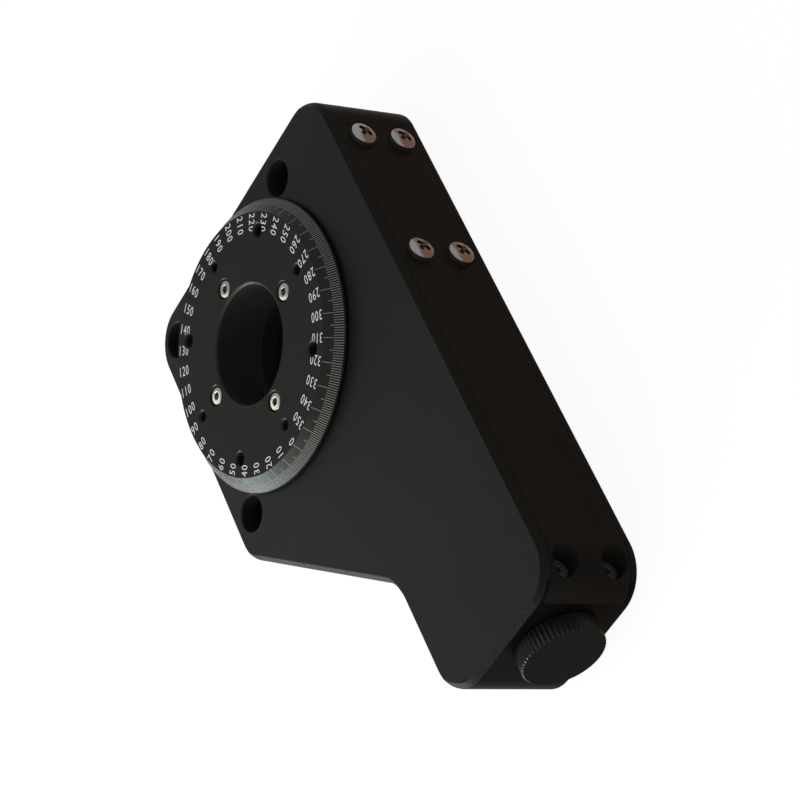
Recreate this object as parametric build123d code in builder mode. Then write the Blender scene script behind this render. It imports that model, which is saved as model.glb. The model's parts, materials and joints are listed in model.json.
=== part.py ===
from build123d import *
import math
import os

# Motorized rotation stage, all lengths in millimetres.
# Z is the axis of the dial, with z = 0 on the base. X and Y are the axes of the mounting holes.
# The worm shaft, the motor and the long side of the housing lie in a slanted frame on the same
# origin: u runs along the worm shaft at 45 degrees below X, and v runs across it, outwards.

# Rings on the dial axis, each added to the one inside it
aperture_r = 18.0
aperture_chamfer = 0.5
spigot_wall = 2.0
cap_screw_offset = 4.75
spindle_wall = 9.5
bearing_section = 6.5
carrier_wall = 3.0
carrier_flange_width = 4.5
carrier_screw_offset = 2.2
left_wall = 3.0
rim_inset = 0.5
bevel_width = 4.4
large_thread_inset = 5.6
small_thread_inset = 7.6

# Heights on the dial axis, from the base up
carrier_inset = 0.2
carrier_flange_height = 2.8
lower_bearing_z = 2.5
bearing_width = 7.0
wheel_space = 13.0
top_lip = 2.5
platform_gap = 0.5
platform_rim_height = 0.7
platform_thickness = 5.2
spigot_depth = 11.7

# Threaded holes of the platform, tap drilled for M5 and M4
large_thread_d = 4.2
small_thread_d = 3.3
thread_count = 4

# Platform screws, M3 with a socket head
cap_screw_count = 4
cap_head_d = 5.5
cap_head_height = 3.0
cap_head_chamfer = 0.25
cap_counterbore_d = 6.2
cap_counterbore_depth = 3.4
cap_shank_d = 3.0
cap_shank_length = 8.0
cap_hex = 2.5
cap_hex_depth = 1.5

# Thin ball bearings of the spindle, 55 x 68 x 7
race_land = 0.95
ball_d = 3.2
ball_count = 12
groove_clearance = 0.1
cage_thickness = 1.0
cage_width = 4.8
cage_pocket_clearance = 0.08

# Spindle and the ring nut on its lower end
spindle_flange_width = 1.8
spindle_end_z = 0.6
seam_chamfer = 0.4
bore_groove_drop = 5.6
bore_groove_width = 0.8
bore_groove_depth = 0.6
nut_thread_step = 1.5
nut_wall = 3.4
nut_slot_width = 4.0
nut_slot_depth = 1.5
nut_slot_count = 4

# Bearing carrier, the ring that closes the housing from below
carrier_wall_drop = 0.3
bearing_lip_width = 2.6
carrier_screw_count = 6
carrier_head_d = 3.8
carrier_shank_d = 2.0
carrier_screw_length = 7.0
carrier_hex = 1.3

# Worm gear
wheel_inset = 3.25
wheel_teeth = 90
wheel_width = 9.0
wheel_hub_wall = 2.1
worm_pitch_r = 5.75
tooth_clearance = 0.15
thread_thinning = 0.3
thread_embed = 0.2
worm_turns = 6
worm_shoulder_wall = 1.2
key_width = 3.0
key_height = 2.4
key_length = 9.0

# Worm shaft and its two ball bearings, 6 x 15 x 5
web_u = 23.4
web_thickness = 8.0
journal_r = 3.0
shaft_chamfer = 0.4
worm_bearing_r = 7.5
worm_bearing_width = 5.0
worm_inner_race_wall = 1.3
worm_shield_gap = 0.3
preload_ring_width = 3.0
preload_ring_play = 1.6
preload_slot_width = 1.5
preload_slot_depth = 1.2

# Bays for the worm and for the motor, milled in from the long side
bay_wall = 4.2
bay_floor_depth = 13.0
worm_bay_depth = 9.5
worm_bay_play = 1.0
bay_end_play = 1.5

# Jaw coupling
coupling_reach = 34.6
coupling_hub_length = 8.0
coupling_spider_length = 6.0
coupling_r = 8.0
coupling_core_r = 3.4
coupling_jaws = 3
jaw_play_angle = 7.5
spider_arm_width = 0.7
shaft_insert = 7.0
coupling_set_screw_d = 3.0
set_screw_inset = 0.6
set_screw_hex = 1.3
set_screw_hex_depth = 1.2

# Stepper motor, 20 mm square
motor_offset = 7.0
motor_width = 20.3
motor_length = 42.0
motor_cap_length = 8.0
motor_corner = 2.0
motor_pilot_r = 7.5
motor_pilot_height = 1.5
motor_shaft_r = 2.0
stator_inset = 0.3
stator_wall = 5.0
rotor_gap = 0.3
rotor_end_play = 0.5
motor_screw_inset = 2.15
motor_screw_d = 2.0
motor_screw_head_d = 3.8
motor_screw_head_height = 1.3
motor_screw_depth = 3.5

# Motor bracket
bracket_thickness = 3.0
bracket_height = 12.5
bracket_foot_length = 10.0
bracket_foot_thickness = 2.5
bracket_screw_depth = 5.5
bracket_screw_d = 3.0
bracket_screw_spacing = 12.0

# Knob on the motor's rear shaft
knob_r = 11.8
knob_width = 5.2
knob_gap = 0.3
knob_serrations = 54
knob_serration_depth = 0.45
serration_share = 0.9
groove_overrun = 0.1
knob_bore_depth = 4.0
knob_set_screw_d = 2.5
knob_set_screw_inset = 1.2
end_bore_r = 3.0

# Housing, out from the worm shaft and the motor
side_depth = 25.5
tail_wall = 17.0
end_wall = 11.5
foot_margin = 13.5
corner_radius = 12.5
edge_chamfer = 0.5
long_side_chamfer = 1.5

# Mounting holes of the housing, for M6 cap screws on a 25 mm grid
mount_offset = 50.0
mount_hole_d = 6.6
mount_counterbore_d = 11.0
mount_counterbore_depth = 7.0

# Side cover, a plate with a thick end that makes the rounded corner
cover_overlap = 5.0
cover_margin = 2.4
cover_thickness = 2.0
cover_gap = 0.15
cover_end_depth = 11.0
cover_block_length = 13.5
cover_corner_radius = 2.0
cover_screw_z = 7.0
pan_head_d = 8.0
pan_head_height = 3.1
pan_rim_height = 1.9
pan_shank_d = 4.0
pan_screw_length = 10.0
pan_recess_width = 1.1
pan_recess_length = 4.2
pan_recess_depth = 1.6
end_screw_inset = 7.6
end_screw_z = 8.3
end_counterbore_d = 8.6
end_seat_depth = 8.5
end_head_d = 7.0

# Clearances
seat_clearance = 0.02
screw_clearance = 0.05
loose_hole_clearance = 0.2
thread_runout = 1.0
running_clearance = 0.05
face_clearance = 0.1

os.makedirs("parts", exist_ok=True)

u_axis = Vector(1, -1, 0).normalized()
v_axis = Vector(1, 1, 0).normalized()
z_axis = Vector(0, 0, 1)

# Radii on the dial axis
spigot_r = aperture_r + spigot_wall
cap_screw_circle_r = aperture_r + cap_screw_offset
bearing_bore_r = aperture_r + spindle_wall
bearing_outer_r = bearing_bore_r + bearing_section
ball_circle_r = (bearing_bore_r + bearing_outer_r) / 2
race_inner_r = ball_circle_r - race_land
race_outer_r = ball_circle_r + race_land
spindle_flange_r = bearing_bore_r + spindle_flange_width
nut_thread_r = bearing_bore_r - nut_thread_step
nut_outer_r = nut_thread_r + nut_wall
bearing_lip_r = bearing_outer_r - bearing_lip_width
chamber_r = bearing_outer_r + carrier_wall
carrier_screw_circle_r = chamber_r + carrier_screw_offset
carrier_flange_r = chamber_r + carrier_flange_width
left_side = carrier_flange_r + left_wall
platform_rim_r = left_side - rim_inset
platform_face_r = platform_rim_r - bevel_width
large_thread_r = platform_face_r - large_thread_inset
small_thread_r = platform_face_r - small_thread_inset

# Heights of the stack on the dial axis
lower_bearing_top_z = lower_bearing_z + bearing_width
carrier_wall_top = lower_bearing_top_z - carrier_wall_drop
upper_bearing_z = lower_bearing_top_z + wheel_space
upper_bearing_top_z = upper_bearing_z + bearing_width
worm_z = lower_bearing_top_z + wheel_space / 2
body_height = upper_bearing_top_z + top_lip
platform_bottom_z = body_height + platform_gap
platform_top_z = platform_bottom_z + platform_thickness
spigot_end_z = platform_bottom_z - spigot_depth
bore_groove_z = spigot_end_z - bore_groove_drop
platform_screw_reach = cap_shank_length - (platform_thickness - cap_counterbore_depth)

# Worm gear sizes that follow from the pitch circles and the tooth count
wheel_pitch_r = chamber_r - wheel_inset
gear_module = 2 * wheel_pitch_r / wheel_teeth
worm_v = wheel_pitch_r + worm_pitch_r
worm_tip_r = worm_pitch_r + gear_module
worm_root_r = worm_pitch_r - gear_module - tooth_clearance
wheel_tip_r = wheel_pitch_r + gear_module
wheel_root_r = wheel_pitch_r - gear_module - tooth_clearance
wheel_hub_r = bearing_bore_r + wheel_hub_wall
worm_lead = math.pi * gear_module
lead_angle = math.atan(worm_lead / (2 * math.pi * worm_pitch_r))
flank_slope = math.tan(math.radians(20))
worm_half_length = worm_lead * worm_turns / 2

# Places along and across the worm shaft
motor_screw_spacing = motor_width - 2 * motor_screw_inset
worm_inner_race_r = journal_r + worm_inner_race_wall
worm_shoulder_r = journal_r + worm_shoulder_wall
preload_ring_bore_r = journal_r + preload_ring_play
coupling_start_u = web_u + coupling_reach
spider_start_u = coupling_start_u + coupling_hub_length
spider_end_u = spider_start_u + coupling_spider_length
shaft_end_u = coupling_start_u + shaft_insert
motor_shaft_start_u = spider_end_u + coupling_hub_length - shaft_insert
motor_front_u = spider_end_u + coupling_hub_length + motor_offset
motor_rear_u = motor_front_u + motor_length
bay_end_u = motor_rear_u + bay_end_play
end_face_u = bay_end_u + end_wall
end_screw_u = end_face_u - end_screw_inset
cover_start_u = -web_u - cover_overlap
cover_block_start_u = end_face_u - cover_block_length
bay_floor_v = worm_v - bay_floor_depth
worm_bay_floor_v = worm_v - worm_bay_depth
long_side_v = worm_v + side_depth
tail_side_v = bay_floor_v - tail_wall
cover_end_v = long_side_v - cover_end_depth
end_screw_seat_v = long_side_v - end_seat_depth
foot_edge_y = -mount_offset - foot_margin
bay_height = body_height - 2 * bay_wall
bay_low_z = worm_z - bay_height / 2
worm_bay_height = 2 * (worm_tip_r + worm_bay_play)
worm_bay_low_z = worm_z - worm_bay_height / 2
cover_height = body_height - 2 * cover_margin
mount_points = [(0, mount_offset), (0, -mount_offset), (-mount_offset, 0)]

drive_plane = Plane(origin=(0, 0, 0), x_dir=u_axis, z_dir=z_axis)


def drive_point(u, v, z):
    """A point of the slanted frame, in the frame of the part."""
    return u_axis * u + v_axis * v + z_axis * z


def shaft_plane(u):
    """Plane square to the worm shaft, with its origin on the shaft, x along v and y along z."""
    return Plane(origin=drive_point(u, worm_v, worm_z), x_dir=v_axis, z_dir=u_axis)


def side_plane(v):
    """Plane parallel to the long side, facing outwards, with x along -u and y along z."""
    return Plane(origin=drive_point(0, v, worm_z), x_dir=-u_axis, z_dir=v_axis)


def save(piece, name):
    """Labels a finished piece and writes it."""
    piece.part.label = name
    export_step(piece.part, f"parts/{name}.step")


# Outline of the housing, corner by corner, in the slanted frame
foot_run = -foot_edge_y * math.sqrt(2)
outline = [
    (-left_side, long_side_v),
    (end_face_u, long_side_v),
    (end_face_u, tail_side_v),
    (foot_run + tail_side_v, tail_side_v),
    (foot_run - left_side, -left_side),
    (-left_side, -left_side),
]
# A second outline, wider at the ends, fades the wide top chamfer of the long side into the narrow one
chamfer_fade = long_side_chamfer - edge_chamfer
envelope_outline = [
    (-left_side - chamfer_fade, long_side_v),
    (end_face_u + chamfer_fade, long_side_v),
    (end_face_u + chamfer_fade, -foot_run),
    (-left_side - chamfer_fade, -foot_run),
]

with BuildPart() as envelope:
    with BuildSketch(drive_plane):
        with BuildLine():
            Polyline(*envelope_outline, close=True)
        make_face()
        fillet(vertices(), radius=corner_radius)
    extrude(amount=body_height)
    chamfer(faces().sort_by(Axis.Z)[-1].edges(), length=long_side_chamfer)

end_screw_places = [(-end_screw_u, side * end_screw_z) for side in (1, -1)]
bracket_back_u = motor_front_u - bracket_thickness
bracket_screw_u = bracket_back_u - bracket_foot_length / 2
foot_screw_places = [(-bracket_screw_u, side * bracket_screw_spacing / 2) for side in (1, -1)]

with BuildPart() as housing:
    with BuildSketch(drive_plane):
        with BuildLine():
            Polyline(*outline, close=True)
        make_face()
        fillet(vertices(), radius=corner_radius)
    extrude(amount=body_height)
    chamfer(faces().filter_by(Axis.Z).edges(), length=edge_chamfer)
    add(envelope.part, mode=Mode.INTERSECT)
    # Stepped bore on the dial axis: carrier recess, wheel chamber, bearing seat and top lip
    with BuildSketch(Plane.XY):
        Circle(carrier_flange_r + face_clearance)
    extrude(amount=carrier_inset + carrier_flange_height, mode=Mode.SUBTRACT)
    with BuildSketch(Plane.XY):
        Circle(chamber_r)
    extrude(amount=upper_bearing_z, mode=Mode.SUBTRACT)
    with BuildSketch(Plane.XY):
        Circle(bearing_outer_r + seat_clearance)
    extrude(amount=upper_bearing_top_z, mode=Mode.SUBTRACT)
    with BuildSketch(Plane.XY):
        Circle(bearing_lip_r)
    extrude(amount=body_height, mode=Mode.SUBTRACT)
    # Recess of the side cover, around the rounded corner too
    with BuildSketch(drive_plane.offset(cover_margin)):
        with BuildLine():
            Polyline(
                (cover_start_u - cover_gap, long_side_v + corner_radius),
                (end_face_u + corner_radius, long_side_v + corner_radius),
                (end_face_u + corner_radius, cover_end_v),
                (cover_block_start_u - cover_gap, cover_end_v),
                (cover_block_start_u - cover_gap, long_side_v - cover_thickness),
                (cover_start_u - cover_gap, long_side_v - cover_thickness),
                close=True,
            )
        make_face()
    extrude(amount=cover_height, mode=Mode.SUBTRACT)
    recess_corners = edges().filter_by(
        lambda e: abs(e.tangent_at(0.5).dot(v_axis)) > 0.99
        and abs(e.center().dot(u_axis) - (cover_start_u - cover_gap)) < cover_gap
    )
    fillet(recess_corners, radius=cover_corner_radius + cover_gap)
    # Bays for the motor with its coupling, and for the worm between the two webs
    with BuildSketch(drive_plane.offset(bay_low_z)):
        with BuildLine():
            Polyline(
                (web_u + web_thickness / 2, bay_floor_v),
                (bay_end_u, bay_floor_v),
                (bay_end_u, long_side_v),
                (web_u + web_thickness / 2, long_side_v),
                close=True,
            )
        make_face()
    extrude(amount=bay_height, mode=Mode.SUBTRACT)
    with BuildSketch(drive_plane.offset(worm_bay_low_z)):
        with Locations((0, (worm_bay_floor_v + long_side_v) / 2)):
            Rectangle(2 * web_u - web_thickness, long_side_v - worm_bay_floor_v)
    extrude(amount=worm_bay_height, mode=Mode.SUBTRACT)
    # Bearing bores in the two webs, and the passage of the motor's rear shaft
    with BuildSketch(shaft_plane(-web_u - worm_bearing_width / 2)):
        Circle(worm_bearing_r + seat_clearance)
    extrude(amount=2 * web_u + worm_bearing_width / 2 + web_thickness, mode=Mode.SUBTRACT)
    with BuildSketch(shaft_plane(bay_end_u)):
        Circle(end_bore_r)
    extrude(amount=end_wall, mode=Mode.SUBTRACT)
    # Mounting holes with counterbores from above
    with Locations(*[(x, y, body_height) for x, y in mount_points]):
        CounterBoreHole(mount_hole_d / 2, mount_counterbore_d / 2, mount_counterbore_depth)
    # Threaded holes for the cover screws, the bracket screws and the carrier screws
    with BuildSketch(side_plane(long_side_v)):
        with GridLocations(2 * web_u, 2 * cover_screw_z, 2, 2):
            Circle(pan_shank_d / 2 + screw_clearance)
    extrude(amount=-cover_thickness - pan_screw_length, mode=Mode.SUBTRACT)
    with BuildSketch(side_plane(cover_end_v)):
        with Locations(*end_screw_places):
            Circle(pan_shank_d / 2 + screw_clearance)
    extrude(amount=-pan_screw_length, mode=Mode.SUBTRACT)
    with BuildSketch(Plane.XY):
        with PolarLocations(carrier_screw_circle_r, carrier_screw_count, start_angle=30):
            Circle(carrier_shank_d / 2 + screw_clearance)
    extrude(amount=carrier_inset + carrier_screw_length + face_clearance, mode=Mode.SUBTRACT)
    with BuildSketch(side_plane(bay_floor_v)):
        with Locations(*foot_screw_places):
            Circle(bracket_screw_d / 2 + screw_clearance)
    extrude(amount=-bracket_screw_depth - face_clearance, mode=Mode.SUBTRACT)
save(housing, "housing")

with BuildPart() as side_cover:
    with BuildSketch(drive_plane.offset(cover_margin + cover_gap)):
        with BuildLine():
            Polyline(
                (cover_start_u, long_side_v - cover_thickness),
                (cover_start_u, long_side_v),
                (end_face_u, long_side_v),
                (end_face_u, cover_end_v + cover_gap),
                (cover_block_start_u, cover_end_v + cover_gap),
                (cover_block_start_u, long_side_v - cover_thickness),
                close=True,
            )
        make_face()
    extrude(amount=cover_height - 2 * cover_gap)
    with BuildSketch(drive_plane):
        with BuildLine():
            Polyline(*outline, close=True)
        make_face()
        fillet(vertices(), radius=corner_radius)
    extrude(amount=body_height, mode=Mode.INTERSECT)
    corner_edges = edges().filter_by(
        lambda e: abs(e.tangent_at(0.5).dot(v_axis)) > 0.99 and e.center().dot(u_axis) < cover_start_u + 1
    )
    fillet(corner_edges, radius=cover_corner_radius)
    with BuildSketch(side_plane(long_side_v)):
        with GridLocations(2 * web_u, 2 * cover_screw_z, 2, 2):
            Circle(pan_shank_d / 2 + loose_hole_clearance)
    extrude(amount=-2 * cover_thickness, mode=Mode.SUBTRACT)
    with BuildSketch(side_plane(cover_end_v)):
        with Locations(*end_screw_places):
            Circle(pan_shank_d / 2 + loose_hole_clearance)
    extrude(amount=corner_radius, mode=Mode.SUBTRACT)
    with BuildSketch(side_plane(end_screw_seat_v)):
        with Locations(*end_screw_places):
            Circle(end_counterbore_d / 2)
    extrude(amount=corner_radius, mode=Mode.SUBTRACT)
save(side_cover, "side_cover")

# Cover screws: pan heads, a low rim under a dome, with a cross recess
dome_height = pan_head_height - pan_rim_height
dome_sphere_r = ((pan_head_d / 2) ** 2 + dome_height**2) / (2 * dome_height)
with BuildPart() as cover_screws:
    with BuildSketch(side_plane(long_side_v)):
        with GridLocations(2 * web_u, 2 * cover_screw_z, 2, 2):
            Circle(pan_head_d / 2)
    extrude(amount=pan_head_height)
    with Locations(side_plane(long_side_v + pan_head_height - dome_sphere_r)):
        with GridLocations(2 * web_u, 2 * cover_screw_z, 2, 2):
            Sphere(dome_sphere_r, mode=Mode.INTERSECT)
    with BuildSketch(side_plane(long_side_v + pan_head_height)):
        with GridLocations(2 * web_u, 2 * cover_screw_z, 2, 2):
            Rectangle(pan_recess_length, pan_recess_width, rotation=45)
            Rectangle(pan_recess_width, pan_recess_length, rotation=45)
    extrude(amount=-pan_recess_depth, mode=Mode.SUBTRACT)
    with BuildSketch(side_plane(long_side_v)):
        with GridLocations(2 * web_u, 2 * cover_screw_z, 2, 2):
            Circle(pan_shank_d / 2)
    extrude(amount=-pan_screw_length)
save(cover_screws, "cover_screws")

with BuildPart() as end_screws:
    with BuildSketch(side_plane(end_screw_seat_v)):
        with Locations(*end_screw_places):
            Circle(end_head_d / 2)
    extrude(amount=cap_head_height)
    with BuildSketch(side_plane(end_screw_seat_v + cap_head_height)):
        with Locations(*end_screw_places):
            RegularPolygon(cap_hex / 2, 6, major_radius=False)
    extrude(amount=-cap_hex_depth, mode=Mode.SUBTRACT)
    with BuildSketch(side_plane(end_screw_seat_v)):
        with Locations(*end_screw_places):
            Circle(pan_shank_d / 2)
    extrude(amount=-pan_screw_length)
save(end_screws, "end_screws")

# The platform: bevelled disc with a spigot that centres it in the spindle
with BuildPart() as platform:
    with BuildSketch(Plane.XZ):
        with BuildLine():
            Polyline(
                (aperture_r + seam_chamfer, spigot_end_z),
                (spigot_r - seat_clearance, spigot_end_z),
                (spigot_r - seat_clearance, platform_bottom_z),
                (platform_rim_r, platform_bottom_z),
                (platform_rim_r, platform_bottom_z + platform_rim_height),
                (platform_face_r, platform_top_z),
                (aperture_r + aperture_chamfer, platform_top_z),
                (aperture_r, platform_top_z - aperture_chamfer),
                (aperture_r, spigot_end_z + seam_chamfer),
                close=True,
            )
        make_face()
    revolve(axis=Axis.Z)
    with Locations((0, 0, platform_top_z)):
        with PolarLocations(cap_screw_circle_r, cap_screw_count, start_angle=45):
            CounterBoreHole(
                cap_shank_d / 2 + loose_hole_clearance, cap_counterbore_d / 2, cap_counterbore_depth
            )
        with PolarLocations(large_thread_r, thread_count):
            Hole(large_thread_d / 2)
        with PolarLocations(small_thread_r, thread_count, start_angle=45):
            Hole(small_thread_d / 2)
save(platform, "platform")

with BuildPart() as platform_screws:
    seat_z = platform_top_z - cap_counterbore_depth
    with BuildSketch(Plane.XY.offset(seat_z)):
        with PolarLocations(cap_screw_circle_r, cap_screw_count, start_angle=45):
            Circle(cap_head_d / 2)
    extrude(amount=cap_head_height)
    chamfer(edges().filter_by(GeomType.CIRCLE).group_by(Axis.Z)[-1], length=cap_head_chamfer)
    with BuildSketch(Plane.XY.offset(seat_z + cap_head_height)):
        with PolarLocations(cap_screw_circle_r, cap_screw_count, start_angle=45):
            RegularPolygon(cap_hex / 2, 6, major_radius=False)
    extrude(amount=-cap_hex_depth, mode=Mode.SUBTRACT)
    with BuildSketch(Plane.XY.offset(seat_z)):
        with PolarLocations(cap_screw_circle_r, cap_screw_count, start_angle=45):
            Circle(cap_shank_d / 2)
    extrude(amount=-cap_shank_length)
save(platform_screws, "platform_screws")

# The spindle: flange on top, barrel for the races and the wheel, thread for the ring nut
with BuildPart() as spindle:
    with BuildSketch(Plane.XZ):
        with BuildLine():
            Polyline(
                (aperture_r, spindle_end_z),
                (nut_thread_r, spindle_end_z),
                (nut_thread_r, lower_bearing_z),
                (bearing_bore_r, lower_bearing_z),
                (bearing_bore_r, upper_bearing_top_z),
                (spindle_flange_r, upper_bearing_top_z),
                (spindle_flange_r, platform_bottom_z),
                (spigot_r, platform_bottom_z),
                (spigot_r, spigot_end_z - face_clearance),
                (aperture_r + seam_chamfer, spigot_end_z - face_clearance),
                (aperture_r, spigot_end_z - face_clearance - seam_chamfer),
                close=True,
            )
        make_face()
    revolve(axis=Axis.Z)
    with BuildSketch(Plane.XZ):
        with Locations((aperture_r, bore_groove_z)):
            Rectangle(2 * bore_groove_depth, bore_groove_width)
    revolve(axis=Axis.Z, mode=Mode.SUBTRACT)
    with BuildSketch(Plane.XY.offset(platform_bottom_z)):
        with PolarLocations(cap_screw_circle_r, cap_screw_count, start_angle=45):
            Circle(cap_shank_d / 2 + screw_clearance)
    extrude(amount=-platform_screw_reach - thread_runout, mode=Mode.SUBTRACT)
    with BuildSketch(Plane.XY.offset(worm_z - key_length / 2 - face_clearance)):
        with Locations((bearing_bore_r, 0)):
            Rectangle(key_height, key_width + 2 * seat_clearance)
    extrude(amount=key_length + 2 * face_clearance, mode=Mode.SUBTRACT)
save(spindle, "spindle")

with BuildPart() as spindle_nut:
    with BuildSketch(Plane.XY.offset(spindle_end_z)):
        Circle(nut_outer_r)
        Circle(nut_thread_r + seat_clearance, mode=Mode.SUBTRACT)
        with PolarLocations(nut_outer_r, nut_slot_count):
            Rectangle(2 * nut_slot_depth, nut_slot_width, mode=Mode.SUBTRACT)
    extrude(amount=lower_bearing_z - spindle_end_z)
save(spindle_nut, "spindle_nut")


# Thin ball bearings of the spindle
groove_r = ball_d / 2 + groove_clearance


def race(name, low_r, high_r, low_z):
    """A race: a ring with a rounded ball groove at the bearing's pitch circle."""
    with BuildPart() as ring:
        with BuildSketch(Plane.XZ):
            with Locations(((low_r + high_r) / 2, low_z + bearing_width / 2)):
                Rectangle(high_r - low_r, bearing_width)
            with Locations((ball_circle_r, low_z + bearing_width / 2)):
                Circle(groove_r, mode=Mode.SUBTRACT)
        revolve(axis=Axis.Z)
    save(ring, name)


def ball_ring(name, low_z):
    """The balls of a bearing, on its pitch circle."""
    with BuildPart() as balls:
        with Locations((0, 0, low_z + bearing_width / 2)):
            with PolarLocations(ball_circle_r, ball_count):
                Sphere(ball_d / 2)
    save(balls, name)


def cage(name, low_z):
    """The cage of a bearing: a thin ring with one window for each ball."""
    window = ball_d + 2 * cage_pocket_clearance
    with BuildPart() as ring:
        with BuildSketch(Plane.XY.offset(low_z + (bearing_width - cage_width) / 2)):
            Circle(ball_circle_r + cage_thickness / 2)
            Circle(ball_circle_r - cage_thickness / 2, mode=Mode.SUBTRACT)
        extrude(amount=cage_width)
        with Locations((0, 0, low_z + bearing_width / 2)):
            with PolarLocations(ball_circle_r, ball_count):
                Box(2 * cage_thickness, window, window, mode=Mode.SUBTRACT)
    save(ring, name)


for place, low_z in (("upper", upper_bearing_z), ("lower", lower_bearing_z)):
    race(f"{place}_inner_race", bearing_bore_r + seat_clearance, race_inner_r, low_z)
    race(f"{place}_outer_race", race_outer_r, bearing_outer_r - seat_clearance, low_z)
    ball_ring(f"{place}_balls", low_z)
    cage(f"{place}_cage", low_z)

with BuildPart() as bearing_carrier:
    with BuildSketch(Plane.XZ):
        with BuildLine():
            Polyline(
                (bearing_lip_r, carrier_inset),
                (carrier_flange_r, carrier_inset),
                (carrier_flange_r, carrier_inset + carrier_flange_height),
                (chamber_r - seat_clearance, carrier_inset + carrier_flange_height),
                (chamber_r - seat_clearance, carrier_wall_top),
                (bearing_outer_r, carrier_wall_top),
                (bearing_outer_r, lower_bearing_z),
                (bearing_lip_r, lower_bearing_z),
                close=True,
            )
        make_face()
    revolve(axis=Axis.Z)
    with Locations((0, 0, carrier_inset)):
        with PolarLocations(carrier_screw_circle_r, carrier_screw_count, start_angle=30):
            Cone(
                carrier_head_d / 2 + screw_clearance,
                carrier_shank_d / 2 + screw_clearance,
                (carrier_head_d - carrier_shank_d) / 2,
                align=(Align.CENTER, Align.CENTER, Align.MIN),
                mode=Mode.SUBTRACT,
            )
            Cylinder(
                carrier_shank_d / 2 + screw_clearance,
                carrier_flange_height,
                align=(Align.CENTER, Align.CENTER, Align.MIN),
                mode=Mode.SUBTRACT,
            )
save(bearing_carrier, "bearing_carrier")

with BuildPart() as carrier_screws:
    with Locations((0, 0, carrier_inset)):
        with PolarLocations(carrier_screw_circle_r, carrier_screw_count, start_angle=30):
            Cone(
                carrier_head_d / 2,
                carrier_shank_d / 2,
                (carrier_head_d - carrier_shank_d) / 2,
                align=(Align.CENTER, Align.CENTER, Align.MIN),
            )
            Cylinder(
                carrier_shank_d / 2, carrier_screw_length, align=(Align.CENTER, Align.CENTER, Align.MIN)
            )
    with BuildSketch(Plane.XY.offset(carrier_inset)):
        with PolarLocations(carrier_screw_circle_r, carrier_screw_count, start_angle=30):
            RegularPolygon(carrier_hex / 2, 6, major_radius=False)
    extrude(amount=carrier_shank_d / 2, mode=Mode.SUBTRACT)
save(carrier_screws, "carrier_screws")

# Worm wheel: a hub between the two inner races, and a rim with slanted teeth. Each tooth gap is
# a straight trapezoid, tilted by the lead angle of the worm, and one of them faces the worm.
gap_top_r = wheel_tip_r + tooth_clearance
gap_root_half = worm_lead / 4 - (wheel_pitch_r - wheel_root_r) * flank_slope
gap_top_half = worm_lead / 4 + (gap_top_r - wheel_pitch_r) * flank_slope
gap_plane = Plane(origin=(0, 0, 0), x_dir=(1, 0, 0), z_dir=(0, math.sin(lead_angle), math.cos(lead_angle)))
drive_turn = 45

with BuildPart() as tooth_gap:
    with BuildSketch(gap_plane):
        with BuildLine():
            Polyline(
                (wheel_root_r, -gap_root_half),
                (gap_top_r, -gap_top_half),
                (gap_top_r, gap_top_half),
                (wheel_root_r, gap_root_half),
                close=True,
            )
        make_face()
    extrude(amount=wheel_width, both=True)

with BuildPart() as worm_wheel:
    with BuildSketch(Plane.XZ):
        with BuildLine():
            Polyline(
                (bearing_bore_r + seat_clearance, lower_bearing_top_z),
                (wheel_hub_r, lower_bearing_top_z),
                (wheel_hub_r, worm_z - wheel_width / 2),
                (wheel_tip_r, worm_z - wheel_width / 2),
                (wheel_tip_r, worm_z + wheel_width / 2),
                (wheel_hub_r, worm_z + wheel_width / 2),
                (wheel_hub_r, upper_bearing_z),
                (bearing_bore_r + seat_clearance, upper_bearing_z),
                close=True,
            )
        make_face()
    revolve(axis=Axis.Z)
    with BuildSketch(Plane.XY.offset(worm_z - key_length / 2 - face_clearance)):
        with Locations((bearing_bore_r, 0)):
            Rectangle(key_height + 2 * face_clearance, key_width + 2 * seat_clearance)
    extrude(amount=key_length + 2 * face_clearance, mode=Mode.SUBTRACT)
    with Locations((0, 0, worm_z)):
        with PolarLocations(0, wheel_teeth, start_angle=drive_turn):
            add(tooth_gap.part, mode=Mode.SUBTRACT)
save(worm_wheel, "worm_wheel")

with BuildPart() as wheel_key:
    with BuildSketch(Plane.XY.offset(worm_z - key_length / 2)):
        with Locations((bearing_bore_r, 0)):
            Rectangle(key_height - 2 * seat_clearance, key_width)
    extrude(amount=key_length)
save(wheel_key, "wheel_key")

# Worm shaft with its thread: a trapezoid swept along a right-handed helix
thread_base_r = worm_root_r - thread_embed
thread_root_half = worm_lead / 4 + (worm_pitch_r - thread_base_r) * flank_slope - thread_thinning / 2
thread_tip_half = worm_lead / 4 - (worm_tip_r - worm_pitch_r) * flank_slope - thread_thinning / 2
worm_plane = Plane(origin=drive_point(0, worm_v, worm_z), x_dir=-v_axis, z_dir=u_axis)
inner_race_face_u = web_u - worm_bearing_width / 2

with BuildPart() as worm_shaft:
    with BuildSketch(worm_plane.offset(-worm_half_length)):
        Circle(worm_root_r)
    extrude(amount=2 * worm_half_length)
    with BuildSketch(worm_plane.offset(-inner_race_face_u)):
        Circle(worm_shoulder_r)
    extrude(amount=2 * inner_race_face_u)
    with BuildSketch(worm_plane.offset(-inner_race_face_u - worm_bearing_width)):
        Circle(journal_r)
    extrude(amount=inner_race_face_u + worm_bearing_width + shaft_end_u)
    circles_along_shaft = edges().filter_by(GeomType.CIRCLE).group_by(Axis((0, 0, 0), u_axis))
    chamfer(circles_along_shaft[-1], length=shaft_chamfer)

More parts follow.
